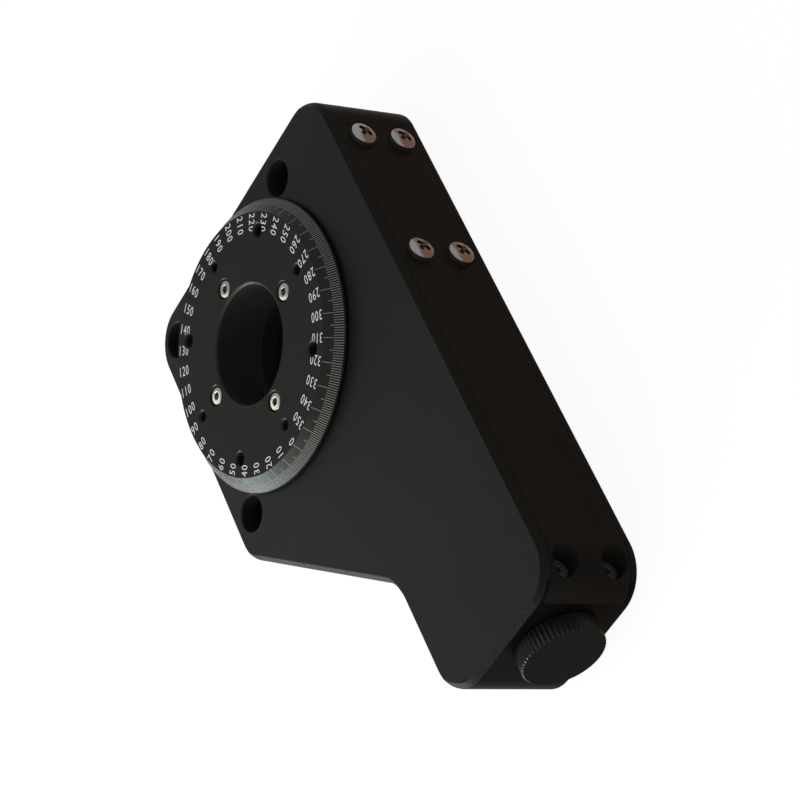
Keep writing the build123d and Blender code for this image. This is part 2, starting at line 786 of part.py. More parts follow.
with BuildPart() as thread:
    with BuildLine():
        spiral = Helix(pitch=worm_lead, height=2 * worm_half_length, radius=thread_base_r)
    with BuildSketch(Plane(origin=spiral @ 0, x_dir=(1, 0, 0), z_dir=spiral % 0)):
        with BuildLine():
            Polyline(
                (0, -thread_root_half),
                (worm_tip_r - thread_base_r, -thread_tip_half),
                (worm_tip_r - thread_base_r, thread_tip_half),
                (0, thread_root_half),
                close=True,
            )
        make_face()
    sweep(path=spiral, is_frenet=True)
with worm_shaft:
    with Locations(worm_plane.offset(-worm_half_length)):
        add(thread.part)
save(worm_shaft, "worm_shaft")


def worm_bearing_rings(name, low_r, high_r):
    """One ring of each of the worm's two bearings."""
    with BuildPart() as rings:
        for start_u in (inner_race_face_u, -inner_race_face_u - worm_bearing_width):
            with BuildSketch(shaft_plane(start_u)):
                Circle(high_r)
                Circle(low_r, mode=Mode.SUBTRACT)
            extrude(amount=worm_bearing_width)
    save(rings, name)


worm_bearing_rings("worm_inner_races", journal_r + seat_clearance, worm_inner_race_r)
worm_bearing_rings("worm_outer_races", worm_inner_race_r + worm_shield_gap, worm_bearing_r)

with BuildPart() as preload_ring:
    with BuildSketch(shaft_plane(inner_race_face_u + worm_bearing_width)):
        Circle(worm_bearing_r)
        Circle(preload_ring_bore_r, mode=Mode.SUBTRACT)
    extrude(amount=preload_ring_width)
    with BuildSketch(shaft_plane(inner_race_face_u + worm_bearing_width + preload_ring_width)):
        Rectangle(3 * worm_bearing_r, preload_slot_width)
    extrude(amount=-preload_slot_depth, mode=Mode.SUBTRACT)
save(preload_ring, "preload_ring")

# Jaw coupling: two hubs whose jaws stand between the arms of a soft spider
jaw_half_angle = math.radians(180 / (2 * coupling_jaws) - jaw_play_angle)


def coupling_hub(name, start_u, jaw_start_u, bore_r, first_turn, screw_u):
    """A hub with a bore, its jaws in the spider's space and a radial threaded hole."""
    with BuildPart() as hub:
        with BuildSketch(shaft_plane(start_u)):
            Circle(coupling_r)
            Circle(bore_r + seat_clearance, mode=Mode.SUBTRACT)
        extrude(amount=coupling_hub_length)
        with BuildSketch(shaft_plane(jaw_start_u)):
            with PolarLocations(0, coupling_jaws, start_angle=first_turn):
                Polygon(
                    (0, 0),
                    (2 * coupling_r, -2 * coupling_r * math.tan(jaw_half_angle)),
                    (2 * coupling_r, 2 * coupling_r * math.tan(jaw_half_angle)),
                    align=None,
                )
            Circle(coupling_r, mode=Mode.INTERSECT)
            Circle(coupling_core_r + face_clearance, mode=Mode.SUBTRACT)
        extrude(amount=coupling_spider_length - face_clearance)
        with BuildSketch(side_plane(worm_v)):
            with Locations((-screw_u, 0)):
                Circle(coupling_set_screw_d / 2 + screw_clearance)
        extrude(amount=2 * coupling_r, mode=Mode.SUBTRACT)
    save(hub, name)


worm_hub_screw_u = coupling_start_u + coupling_hub_length / 2
motor_hub_screw_u = spider_end_u + coupling_hub_length / 2
coupling_hub("coupling_worm_hub", coupling_start_u, spider_start_u, journal_r, 0, worm_hub_screw_u)
coupling_hub(
    "coupling_motor_hub",
    spider_end_u,
    spider_start_u + face_clearance,
    motor_shaft_r,
    180 / coupling_jaws,
    motor_hub_screw_u,
)

with BuildPart() as coupling_spider:
    with BuildSketch(shaft_plane(spider_start_u + face_clearance)):
        Circle(coupling_core_r)
        with PolarLocations(0, 2 * coupling_jaws, start_angle=90 / coupling_jaws):
            Rectangle(coupling_r, spider_arm_width, align=(Align.MIN, Align.CENTER))
    extrude(amount=coupling_spider_length - 2 * face_clearance)
save(coupling_spider, "coupling_spider")

with BuildPart() as coupling_set_screws:
    for screw_u, shaft_r in ((worm_hub_screw_u, journal_r), (motor_hub_screw_u, motor_shaft_r)):
        with BuildSketch(side_plane(worm_v + shaft_r + seat_clearance)):
            with Locations((-screw_u, 0)):
                Circle(coupling_set_screw_d / 2)
        extrude(amount=coupling_r - shaft_r - set_screw_inset)
        with BuildSketch(side_plane(worm_v + coupling_r - set_screw_inset)):
            with Locations((-screw_u, 0)):
                RegularPolygon(set_screw_hex / 2, 6, major_radius=False)
        extrude(amount=-set_screw_hex_depth, mode=Mode.SUBTRACT)
save(coupling_set_screws, "coupling_set_screws")


# Stepper motor with its shaft through both caps
def motor_block(start_u, length, width, bore_r):
    """A square slice of the motor with clipped corners and a bore along the shaft."""
    with BuildPart() as block:
        with BuildSketch(shaft_plane(start_u)):
            Rectangle(width, width)
            chamfer(vertices(), length=motor_corner)
            Circle(bore_r, mode=Mode.SUBTRACT)
        extrude(amount=length)
    return block


shaft_bore_r = motor_shaft_r + running_clearance
stator_start_u = motor_front_u + motor_cap_length
stator_length = motor_length - 2 * motor_cap_length
stator_bore_r = motor_width / 2 - stator_wall
stator = motor_block(stator_start_u, stator_length, motor_width - 2 * stator_inset, stator_bore_r)
save(stator, "motor_stator")
rear_cap = motor_block(motor_rear_u - motor_cap_length, motor_cap_length, motor_width, shaft_bore_r)
save(rear_cap, "motor_rear_cap")
front_block = motor_block(motor_front_u, motor_cap_length, motor_width, shaft_bore_r)
with BuildPart() as front_cap:
    add(front_block.part)
    with BuildSketch(shaft_plane(motor_front_u - motor_pilot_height)):
        Circle(motor_pilot_r)
        Circle(shaft_bore_r, mode=Mode.SUBTRACT)
    extrude(amount=motor_pilot_height)
    with BuildSketch(shaft_plane(motor_front_u)):
        with GridLocations(motor_screw_spacing, motor_screw_spacing, 2, 2):
            Circle(motor_screw_d / 2 + screw_clearance)
    extrude(amount=motor_screw_depth + face_clearance, mode=Mode.SUBTRACT)
save(front_cap, "motor_front_cap")

knob_start_u = end_face_u + knob_gap
with BuildPart() as motor_shaft:
    with BuildSketch(shaft_plane(motor_shaft_start_u)):
        Circle(motor_shaft_r)
    extrude(amount=knob_start_u + knob_bore_depth - face_clearance - motor_shaft_start_u)
    with BuildSketch(shaft_plane(stator_start_u + rotor_end_play)):
        Circle(stator_bore_r - rotor_gap)
    extrude(amount=stator_length - 2 * rotor_end_play)
save(motor_shaft, "motor_shaft")

bracket_depth = bay_height - 2 * face_clearance
bracket_top_v = worm_v + bracket_height
with BuildPart() as motor_bracket:
    with BuildSketch(drive_plane.offset(bay_low_z + face_clearance)):
        with BuildLine():
            Polyline(
                (motor_front_u, bay_floor_v),
                (motor_front_u, bracket_top_v),
                (bracket_back_u, bracket_top_v),
                (bracket_back_u, bay_floor_v + bracket_foot_thickness),
                (bracket_back_u - bracket_foot_length, bay_floor_v + bracket_foot_thickness),
                (bracket_back_u - bracket_foot_length, bay_floor_v),
                close=True,
            )
        make_face()
    extrude(amount=bracket_depth)
    with BuildSketch(shaft_plane(bracket_back_u)):
        Circle(motor_pilot_r + seat_clearance)
        with GridLocations(motor_screw_spacing, motor_screw_spacing, 2, 2):
            Circle(motor_screw_d / 2 + screw_clearance)
    extrude(amount=bracket_thickness, mode=Mode.SUBTRACT)
    with BuildSketch(side_plane(bay_floor_v)):
        with Locations(*foot_screw_places):
            Circle(bracket_screw_d / 2 + screw_clearance)
    extrude(amount=bracket_thickness, mode=Mode.SUBTRACT)
save(motor_bracket, "motor_bracket")

with BuildPart() as bracket_screws:
    foot_top_v = bay_floor_v + bracket_foot_thickness
    with BuildSketch(side_plane(foot_top_v)):
        with Locations(*foot_screw_places):
            Circle(cap_head_d / 2)
    extrude(amount=cap_head_height)
    with BuildSketch(side_plane(foot_top_v + cap_head_height)):
        with Locations(*foot_screw_places):
            RegularPolygon(cap_hex / 2, 6, major_radius=False)
    extrude(amount=-cap_hex_depth, mode=Mode.SUBTRACT)
    with BuildSketch(side_plane(foot_top_v)):
        with Locations(*foot_screw_places):
            Circle(bracket_screw_d / 2)
    extrude(amount=-(bracket_foot_thickness + bracket_screw_depth))
save(bracket_screws, "bracket_screws")

with BuildPart() as motor_screws:
    with BuildSketch(shaft_plane(bracket_back_u)):
        with GridLocations(motor_screw_spacing, motor_screw_spacing, 2, 2):
            Circle(motor_screw_head_d / 2)
    extrude(amount=-motor_screw_head_height)
    with BuildSketch(shaft_plane(bracket_back_u)):
        with GridLocations(motor_screw_spacing, motor_screw_spacing, 2, 2):
            Circle(motor_screw_d / 2)
    extrude(amount=bracket_thickness + motor_screw_depth)
save(motor_screws, "motor_screws")

# Knob: a disc with straight serrations, a blind bore from behind and a set screw
serration_half = math.pi * knob_r / knob_serrations * serration_share
knob_screw_u = knob_start_u + knob_bore_depth / 2
with BuildPart() as knob:
    with BuildSketch(shaft_plane(knob_start_u)):
        Circle(knob_r)
    extrude(amount=knob_width)
    with BuildSketch(shaft_plane(knob_start_u)):
        with PolarLocations(knob_r, knob_serrations):
            Polygon(
                (-knob_serration_depth, 0),
                (groove_overrun, -serration_half),
                (groove_overrun, serration_half),
                align=None,
            )
    extrude(amount=knob_width, mode=Mode.SUBTRACT)
    with BuildSketch(shaft_plane(knob_start_u)):
        Circle(motor_shaft_r + seat_clearance)
    extrude(amount=knob_bore_depth, mode=Mode.SUBTRACT)
    with BuildSketch(side_plane(worm_v)):
        with Locations((-knob_screw_u, 0)):
            Circle(knob_set_screw_d / 2 + screw_clearance)
    extrude(amount=-knob_r, mode=Mode.SUBTRACT)
save(knob, "knob")

with BuildPart() as knob_set_screw:
    with BuildSketch(side_plane(worm_v - motor_shaft_r - seat_clearance)):
        with Locations((-knob_screw_u, 0)):
            Circle(knob_set_screw_d / 2)
    extrude(amount=-(knob_r - motor_shaft_r - knob_set_screw_inset))
    with BuildSketch(side_plane(worm_v - knob_r + knob_set_screw_inset - seat_clearance)):
        with Locations((-knob_screw_u, 0)):
            RegularPolygon(set_screw_hex / 2, 6, major_radius=False)
    extrude(amount=set_screw_hex_depth, mode=Mode.SUBTRACT)
save(knob_set_screw, "knob_set_screw")
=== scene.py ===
"""Looks of the motorized rotation stage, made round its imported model.

Sizes are in millimetres and finished meshes in metres. Z is the dial axis, with z = 0 on the base.
The worm shaft, the motor and the long side lie in a slanted frame on the same origin: u runs along
the worm shaft, 45 degrees below X, and v runs across it, out of the long side.
"""
import json
import logging
import math
from dataclasses import dataclass, field
from enum import Enum
from typing import Any, Callable, Iterator, Optional, Sequence, Union

import bmesh
import bpy
from mathutils import Matrix, Vector


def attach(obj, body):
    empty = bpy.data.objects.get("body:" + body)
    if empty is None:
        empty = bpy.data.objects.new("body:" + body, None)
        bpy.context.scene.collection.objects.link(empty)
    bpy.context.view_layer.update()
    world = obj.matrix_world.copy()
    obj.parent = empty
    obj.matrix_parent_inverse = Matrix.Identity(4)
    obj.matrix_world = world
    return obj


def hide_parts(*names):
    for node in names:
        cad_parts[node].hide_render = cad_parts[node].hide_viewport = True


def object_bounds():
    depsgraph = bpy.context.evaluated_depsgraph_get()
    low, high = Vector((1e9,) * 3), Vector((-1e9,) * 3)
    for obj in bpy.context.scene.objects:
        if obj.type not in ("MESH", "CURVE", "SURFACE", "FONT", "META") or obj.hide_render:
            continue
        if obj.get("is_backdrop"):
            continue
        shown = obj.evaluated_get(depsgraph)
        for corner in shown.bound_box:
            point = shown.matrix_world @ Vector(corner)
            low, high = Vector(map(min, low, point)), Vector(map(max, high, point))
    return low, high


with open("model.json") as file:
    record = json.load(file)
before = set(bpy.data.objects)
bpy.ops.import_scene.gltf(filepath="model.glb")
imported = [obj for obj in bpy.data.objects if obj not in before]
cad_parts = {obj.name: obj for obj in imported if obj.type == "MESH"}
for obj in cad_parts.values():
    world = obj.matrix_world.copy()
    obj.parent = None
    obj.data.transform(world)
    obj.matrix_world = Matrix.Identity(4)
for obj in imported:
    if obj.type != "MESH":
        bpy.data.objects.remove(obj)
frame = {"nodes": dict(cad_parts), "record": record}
cad_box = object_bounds()

MM = 0.001
U_AXIS = Vector((1, -1, 0)).normalized()
V_AXIS = Vector((1, 1, 0)).normalized()
Z_AXIS = Vector((0, 0, 1))
SMOOTH_ANGLE = math.radians(32)
SLANT = math.radians(45)

# How far cutters reach past a face, past the end of the body and past its long side.
PAST_FACE = 1.0
PAST_END = 2.0
PAST_SIDE = 3.0

Point = tuple[float, float]
Place = tuple[float, float, float]
Colour = tuple[float, float, float]
Operand = Union["Value", float]


class Body(Enum):
    """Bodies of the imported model."""

    BASE = "base"
    ROTOR = "rotor"
    WORM = "worm_train"


class Slot(Enum):
    """Finishes of the record, named for the new pieces."""

    BODY = "body_anodised"
    COVER = "cover_anodised"
    DIAL = "dial_anodised"
    CHROME = "screw_chrome"
    STEEL = "screw_steel"


class Lay(Enum):
    """How the tool marks run over a bare metal."""

    TURNED = "turned about the dial axis"
    SHAFT = "turned about the worm shaft"
    STACKED = "sheets stacked along the worm shaft"
    GROUND = "no direction"


class Value:
    """An output of a node, with arithmetic that adds Math nodes."""

    def __init__(self, graph: "Graph", socket: bpy.types.NodeSocket) -> None:
        """Wraps a socket of a graph."""
        self.graph = graph
        self.socket = socket

    def output(self, name: str) -> "Value":
        """Another output of the same node."""
        return Value(self.graph, self.socket.node.outputs[name])

    def __add__(self, other: Operand) -> "Value":
        """self + other."""
        return self.graph.math("ADD", self, other)

    __radd__ = __add__

    def __sub__(self, other: Operand) -> "Value":
        """self - other."""
        return self.graph.math("SUBTRACT", self, other)

    def __rsub__(self, other: Operand) -> "Value":
        """other - self."""
        return self.graph.math("SUBTRACT", other, self)

    def __mul__(self, other: Operand) -> "Value":
        """self * other."""
        return self.graph.math("MULTIPLY", self, other)

    __rmul__ = __mul__

    def __truediv__(self, other: Operand) -> "Value":
        """self / other."""
        return self.graph.math("DIVIDE", self, other)

    def __gt__(self, other: Operand) -> "Value":
        """1 where self is above other, and 0 elsewhere."""
        return self.graph.math("GREATER_THAN", self, other)

    def __abs__(self) -> "Value":
        """The size of self, without its sign."""
        return self.graph.math("ABSOLUTE", self)

    def least(self, other: Operand) -> "Value":
        """The smaller of self and other."""
        return self.graph.math("MINIMUM", self, other)

    def most(self, other: Operand) -> "Value":
        """The larger of self and other."""
        return self.graph.math("MAXIMUM", self, other)

    def fraction(self) -> "Value":
        """What follows the decimal point of self."""
        return self.graph.math("FRACT", self)


class Graph:
    """A node tree, and the one way in which nodes join it."""

    def __init__(self, tree: bpy.types.NodeTree) -> None:
        """Starts on an existing tree."""
        self.tree = tree

    def node(
        self, kind: str, settings: Optional[dict[str, Any]] = None, inputs: Optional[dict[Any, Any]] = None
    ) -> Value:
        """Adds a node.

        Args:
            kind: The node's type, such as ShaderNodeTexNoise.
            settings: Its properties.
            inputs: Constants or links of its sockets, by name or by number.

        Returns:
            Its first output.
        """
        made = self.tree.nodes.new(kind)
        for key, value in (settings or {}).items():
            setattr(made, key, value)
        for key, value in (inputs or {}).items():
            if isinstance(value, Value):
                self.tree.links.new(value.socket, made.inputs[key])
            else:
                made.inputs[key].default_value = value
        return Value(self, made.outputs[0]) if made.outputs else Value(self, made.inputs[0])

    def math(self, operation: str, first: Operand, second: Operand = 0.0) -> Value:
        """A Math node on one or two numbers."""
        return self.node("ShaderNodeMath", {"operation": operation}, {0: first, 1: second})

    def seen(self) -> Value:
        """1 for rays from the camera, mirrors and glass, and 0 for the others.

        Returns:
            The value.
        """
        rays = self.node("ShaderNodeLightPath")
        seen = rays.output("Is Camera Ray").most(rays.output("Is Glossy Ray"))
        return seen.most(rays.output("Is Transmission Ray"))


class Shader(Graph):
    """The node tree of one material."""

    def __init__(self, name: str) -> None:
        """Starts an empty material.

        Args:
            name: The material's name.
        """
        self.material = bpy.data.materials.new(name)
        self.material.use_nodes = True
        self.material.node_tree.nodes.clear()
        super().__init__(self.material.node_tree)

    def glow(self, colour: Colour) -> Value:
        """Light of one colour."""
        return self.node("ShaderNodeEmission", {}, {"Color": (*colour, 1.0), "Strength": 1.0})

    def end(self, shader: Value) -> bpy.types.Material:
        """Ends the material in a shader."""
        self.node("ShaderNodeOutputMaterial", {}, {"Surface": shader})
        return self.material


class Surface(Shader):
    """A material of the object, with the patterns that the finishes share."""

    def __init__(self, name: str) -> None:
        """Starts a material on the object's own coordinates."""
        super().__init__(name)
        self.place = self.node("ShaderNodeTexCoord").output("Object")

    def noise(self, grain: float, detail: float = 2.0, place: Optional[Value] = None) -> Value:
        """Noise between 0 and 1.

        Args:
            grain: Size of its spots in millimetres.
            detail: How many finer layers it has.
            place: Coordinates, where they aren't the object's own.

        Returns:
            The noise.
        """
        inputs = {"Vector": place or self.place, "Scale": 1.0 / (grain * MM), "Detail": detail}
        return self.node("ShaderNodeTexNoise", {"noise_dimensions": "3D"}, inputs)

    def shade(self, colour: Colour, factor: Operand, spread: float) -> Value:
        """A colour that gets lighter and darker.

        Args:
            colour: The colour at the middle.
            factor: Where it is dark, at 0, and light, at 1.
            spread: The share by which it changes each way.

        Returns:
            The colour.
        """
        dark = (*[c * (1 - spread) for c in colour], 1.0)
        light = (*[c * (1 + spread) for c in colour], 1.0)
        mixed = self.node("ShaderNodeMix", {"data_type": "RGBA"}, {0: factor, 6: dark, 7: light})
        return Value(self, mixed.socket.node.outputs[2])

    def vary(self, level: float, *patterns: tuple[float, Value]) -> Value:
        """A number that patterns raise and lower.

        Args:
            level: The number at the middle of every pattern.
            *patterns: The strength of each pattern, and the pattern from 0 to 1.

        Returns:
            The number.
        """
        result: Operand = level
        for strength, pattern in patterns:
            result = result + strength * (pattern - 0.5)
        return result

    def bump(self, height: Value, depth: float, under: Optional[Value] = None) -> Value:
        """A Bump node.

        Args:
            height: The relief, from 0 to 1.
            depth: Its depth in millimetres.
            under: A coarser relief that this one adds to.

        Returns:
            The normal.
        """
        inputs: dict[str, Any] = {"Height": height, "Distance": depth * MM}
        if under is not None:
            inputs["Normal"] = under
        return self.node("ShaderNodeBump", {}, inputs)

    def finish(self, **sockets: Any) -> bpy.types.Material:
        """Ends the material in a Principled shader.

        Args:
            **sockets: The shader's inputs, with underscores for spaces.

        Returns:
            The material.
        """
        inputs = {name.replace("_", " "): value for name, value in sockets.items()}
        return self.end(self.node("ShaderNodeBsdfPrincipled", {}, inputs))


@dataclass(frozen=True)
class Anodised:
    """Aluminium, bead-blasted and anodised: near black, matt, with a fine even grain.

    Grain, its depth and the clouds are in millimetres. A dent is as wide as several grains.
    """

    name: str
    colour: Colour
    roughness: float = 0.42
    ior: float = 1.15
    grain: float = 0.3
    grain_depth: float = 0.02
    mottle: float = 0.12
    cloud: float = 18.0
    cloud_share: float = 0.6
    cloud_gloss: float = 0.12
    grain_gloss: float = 0.1
    dent: float = 4.0

    def material(self) -> bpy.types.Material:
        """Builds the material.

        Returns:
            The material.
        """
        surface = Surface(self.name)
        clouds = surface.noise(self.cloud, detail=3.0)
        grain = surface.noise(self.grain, detail=3.0)
        dents = surface.noise(self.grain * self.dent, detail=1.0)
        coarse = surface.bump(dents, self.grain_depth)
        patches = self.cloud_share * clouds + (1.0 - self.cloud_share) * grain
        return surface.finish(
            Base_Color=surface.shade(self.colour, patches, self.mottle),
            Roughness=surface.vary(self.roughness, (self.cloud_gloss, clouds), (self.grain_gloss, grain)),
            IOR=self.ior,
            Normal=surface.bump(grain, self.grain_depth, coarse),
        )


@dataclass(frozen=True)
class Metal:
    """Bare or plated metal with the marks of its machining, of a step and a depth in millimetres."""

    name: str
    colour: Colour
    roughness: float = 0.3
    lay: Lay = Lay.GROUND
    step: float = 0.25
    depth: float = 0.003
    metallic: float = 1.0
    mottle: float = 0.12
    cloud: float = 9.0
    cloud_gloss: float = 0.1
    mark_gloss: float = 0.14

    def material(self) -> bpy.types.Material:
        """Builds the material.

        Returns:
            The material.
        """
        surface = Surface(self.name)
        marks = self.marks(surface)
        clouds = surface.noise(self.cloud, detail=2.0)
        return surface.finish(
            Base_Color=surface.shade(self.colour, 0.5 * clouds + 0.5 * marks, self.mottle),
            Roughness=surface.vary(self.roughness, (self.mark_gloss, marks), (self.cloud_gloss, clouds)),
            Metallic=self.metallic,
            Normal=surface.bump(marks, self.depth),
        )

    def marks(self, surface: Surface) -> Value:
        """The relief of the tool marks.

        Args:
            surface: The material that they belong to.

        Returns:
            Their height from 0 to 1.
        """
        if self.lay is Lay.GROUND:
            return surface.noise(self.step, detail=3.0)
        place = surface.place
        if self.lay is not Lay.TURNED:
            shaft = Worm()
            inputs = {
                "Vector": place,
                "Rotation": (0.0, 0.0, SLANT),
                "Location": (0.0, -shaft.v * MM, -shaft.z * MM),
            }
            place = surface.node("ShaderNodeMapping", {"vector_type": "POINT"}, inputs)
        parts = surface.node("ShaderNodeSeparateXYZ", {}, {0: place})
        x, y, z = parts.output("X"), parts.output("Y"), parts.output("Z")
        if self.lay is Lay.STACKED:
            return abs((x / (self.step * MM)).fraction() - 0.5) * 2.0
        across, along = ((x, y), z) if self.lay is Lay.TURNED else ((y, z), x)
        radius = surface.math("SQRT", across[0] * across[0] + across[1] * across[1])
        lines = surface.node("ShaderNodeCombineXYZ", {}, {0: radius, 1: along, 2: 0.0})
        return surface.noise(self.step, detail=3.0, place=lines)


@dataclass(frozen=True)
class Plain:
    """Paint or moulded plastic with a faint unevenness."""

    name: str
    colour: Colour
    roughness: float = 0.6
    specular: float = 0.3
    mottle: float = 0.08
    grain: float = 0.3
    gloss: float = 0.15
    depth: float = 0.004

    def material(self) -> bpy.types.Material:
        """Builds the material.

        Returns:
            The material.
        """
        surface = Surface(self.name)
        specks = surface.noise(self.grain, detail=2.0)
        return surface.finish(
            Base_Color=surface.shade(self.colour, specks, self.mottle),
            Roughness=surface.vary(self.roughness, (self.gloss, specks)),
            Specular_IOR_Level=self.specular,
            Normal=surface.bump(specks, self.depth),
        )


Finish = Union[Anodised, Metal, Plain]

BODY_BLACK = Anodised("black anodised housing", (0.0056, 0.0057, 0.0052), 0.42, 1.12)
# Upright faces of the housing: the same black anodising, darker as painted shade.
SIDES_PAINTED_SHADE = Anodised("black sides with painted shade", (0.0034, 0.0032, 0.0028), 0.5, 1.08, grain_depth=0.008)
# The long side: the same black anodising, lighter and browner as a painted reflection.
LONG_SIDE_PAINTED_REFLECTION = Anodised("long side with painted brown reflection", (0.0088, 0.0080, 0.0066), 0.5, 1.09, grain_depth=0.008)
# The top chamfers: the same black anodising, lighter as a painted highlight, with a coarser grain.
TOP_EDGE_PAINTED_HIGHLIGHT = Anodised("top chamfers with painted highlight", (0.0088, 0.0089, 0.0082), 0.36, 1.085, 0.4, 0.14)
COVER_BLACK = Anodised("satin black cover", (0.0060, 0.0062, 0.0059), 0.32, 1.12, grain_depth=0.005)
# Walls of holes and counterbores: the same black anodising, lighter as painted light.
BORE_WALL_PAINTED_LIGHT = Anodised("bore walls with painted light", (0.013, 0.012, 0.0105), 0.5, 1.08, grain_depth=0.006)
DIAL_BLACK = Anodised("black anodised dial", (0.0146, 0.0146, 0.0136), 0.38, 1.05, grain_depth=0.014)
# Turned dial edges: glossier, and lighter as painted light on the bevel, rim, aperture and hole walls.
DIAL_EDGE_PAINTED_LIGHT = Anodised("turned dial edges with painted light", (0.0165, 0.0165, 0.0153), 0.38, 1.15, 0.36, 0.06)
KNOB_BLACK = Anodised("black anodised knob", (0.0034, 0.0036, 0.0030), 0.36, 1.07, grain_depth=0.012)
# The knob's serrated rim: glossier, and lighter as painted light.
SERRATION_PAINTED_LIGHT = Anodised("polished serrations with painted light", (0.0085, 0.0085, 0.0080), 0.3, 1.22, grain_depth=0.004)
SPINDLE_BLACK = Anodised("blackened spindle", (0.0170, 0.0155, 0.0120), 0.4, 1.06, grain_depth=0.006)
NUMBER_WHITE = Plain("white numbers", (0.47, 0.47, 0.455), 0.7, 0.2)
TICK_GREY = Plain("grey graduations", (0.19, 0.18, 0.165), 0.7, 0.2)
CHROME = Metal("polished screw heads", (0.22, 0.215, 0.21), 0.2, depth=0.0004, metallic=0.9)
# Walls of the cross recesses: the screws' steel, darkened as painted shade.
RECESS_PAINTED_SHADE = Metal("cross recesses with painted shade", (0.05, 0.048, 0.045), 0.25, depth=0.001)
BRIGHT_STEEL = Metal("bright socket screws", (0.22, 0.215, 0.20), 0.12, depth=0.0008, metallic=0.9)
DULL_STEEL = Metal("dulled end screws", (0.03, 0.031, 0.03), 0.5, depth=0.008, metallic=0.3)

SLOT_FINISHES: dict[str, Finish] = {
    "body_anodised": BODY_BLACK,
    "cover_anodised": COVER_BLACK,
    "dial_anodised": DIAL_BLACK,
    "screw_chrome": CHROME,
    "screw_steel": BRIGHT_STEEL,
    "screw_black": Metal("black oxide screws", (0.03, 0.03, 0.032), 0.4),
    "spindle_black": SPINDLE_BLACK,
    "spindle_steel": Metal("turned steel", (0.36, 0.36, 0.37), 0.3, Lay.TURNED),
    "bearing_steel": Metal("bearing steel", (0.5, 0.5, 0.51), 0.16, Lay.TURNED, depth=0.001),
    "cage_brass": Metal("brass cage", (0.55, 0.38, 0.15), 0.3, Lay.TURNED),
    "wheel_bronze": Metal("bronze wheel", (0.48, 0.27, 0.12), 0.32, Lay.TURNED),
    "worm_steel": Metal("ground worm steel", (0.42, 0.42, 0.43), 0.2, Lay.SHAFT),
    "coupling_aluminium": Metal("turned aluminium", (0.62, 0.62, 0.63), 0.32, Lay.SHAFT),
    "spider_polymer": Plain("red polyurethane", (0.42, 0.03, 0.02), 0.45, 0.4),
    "motor_aluminium": Metal("motor caps", (0.5, 0.5, 0.5), 0.42),
    "motor_laminations": Metal("stacked laminations", (0.06, 0.06, 0.065), 0.4, Lay.STACKED, 0.5, 0.08),
}


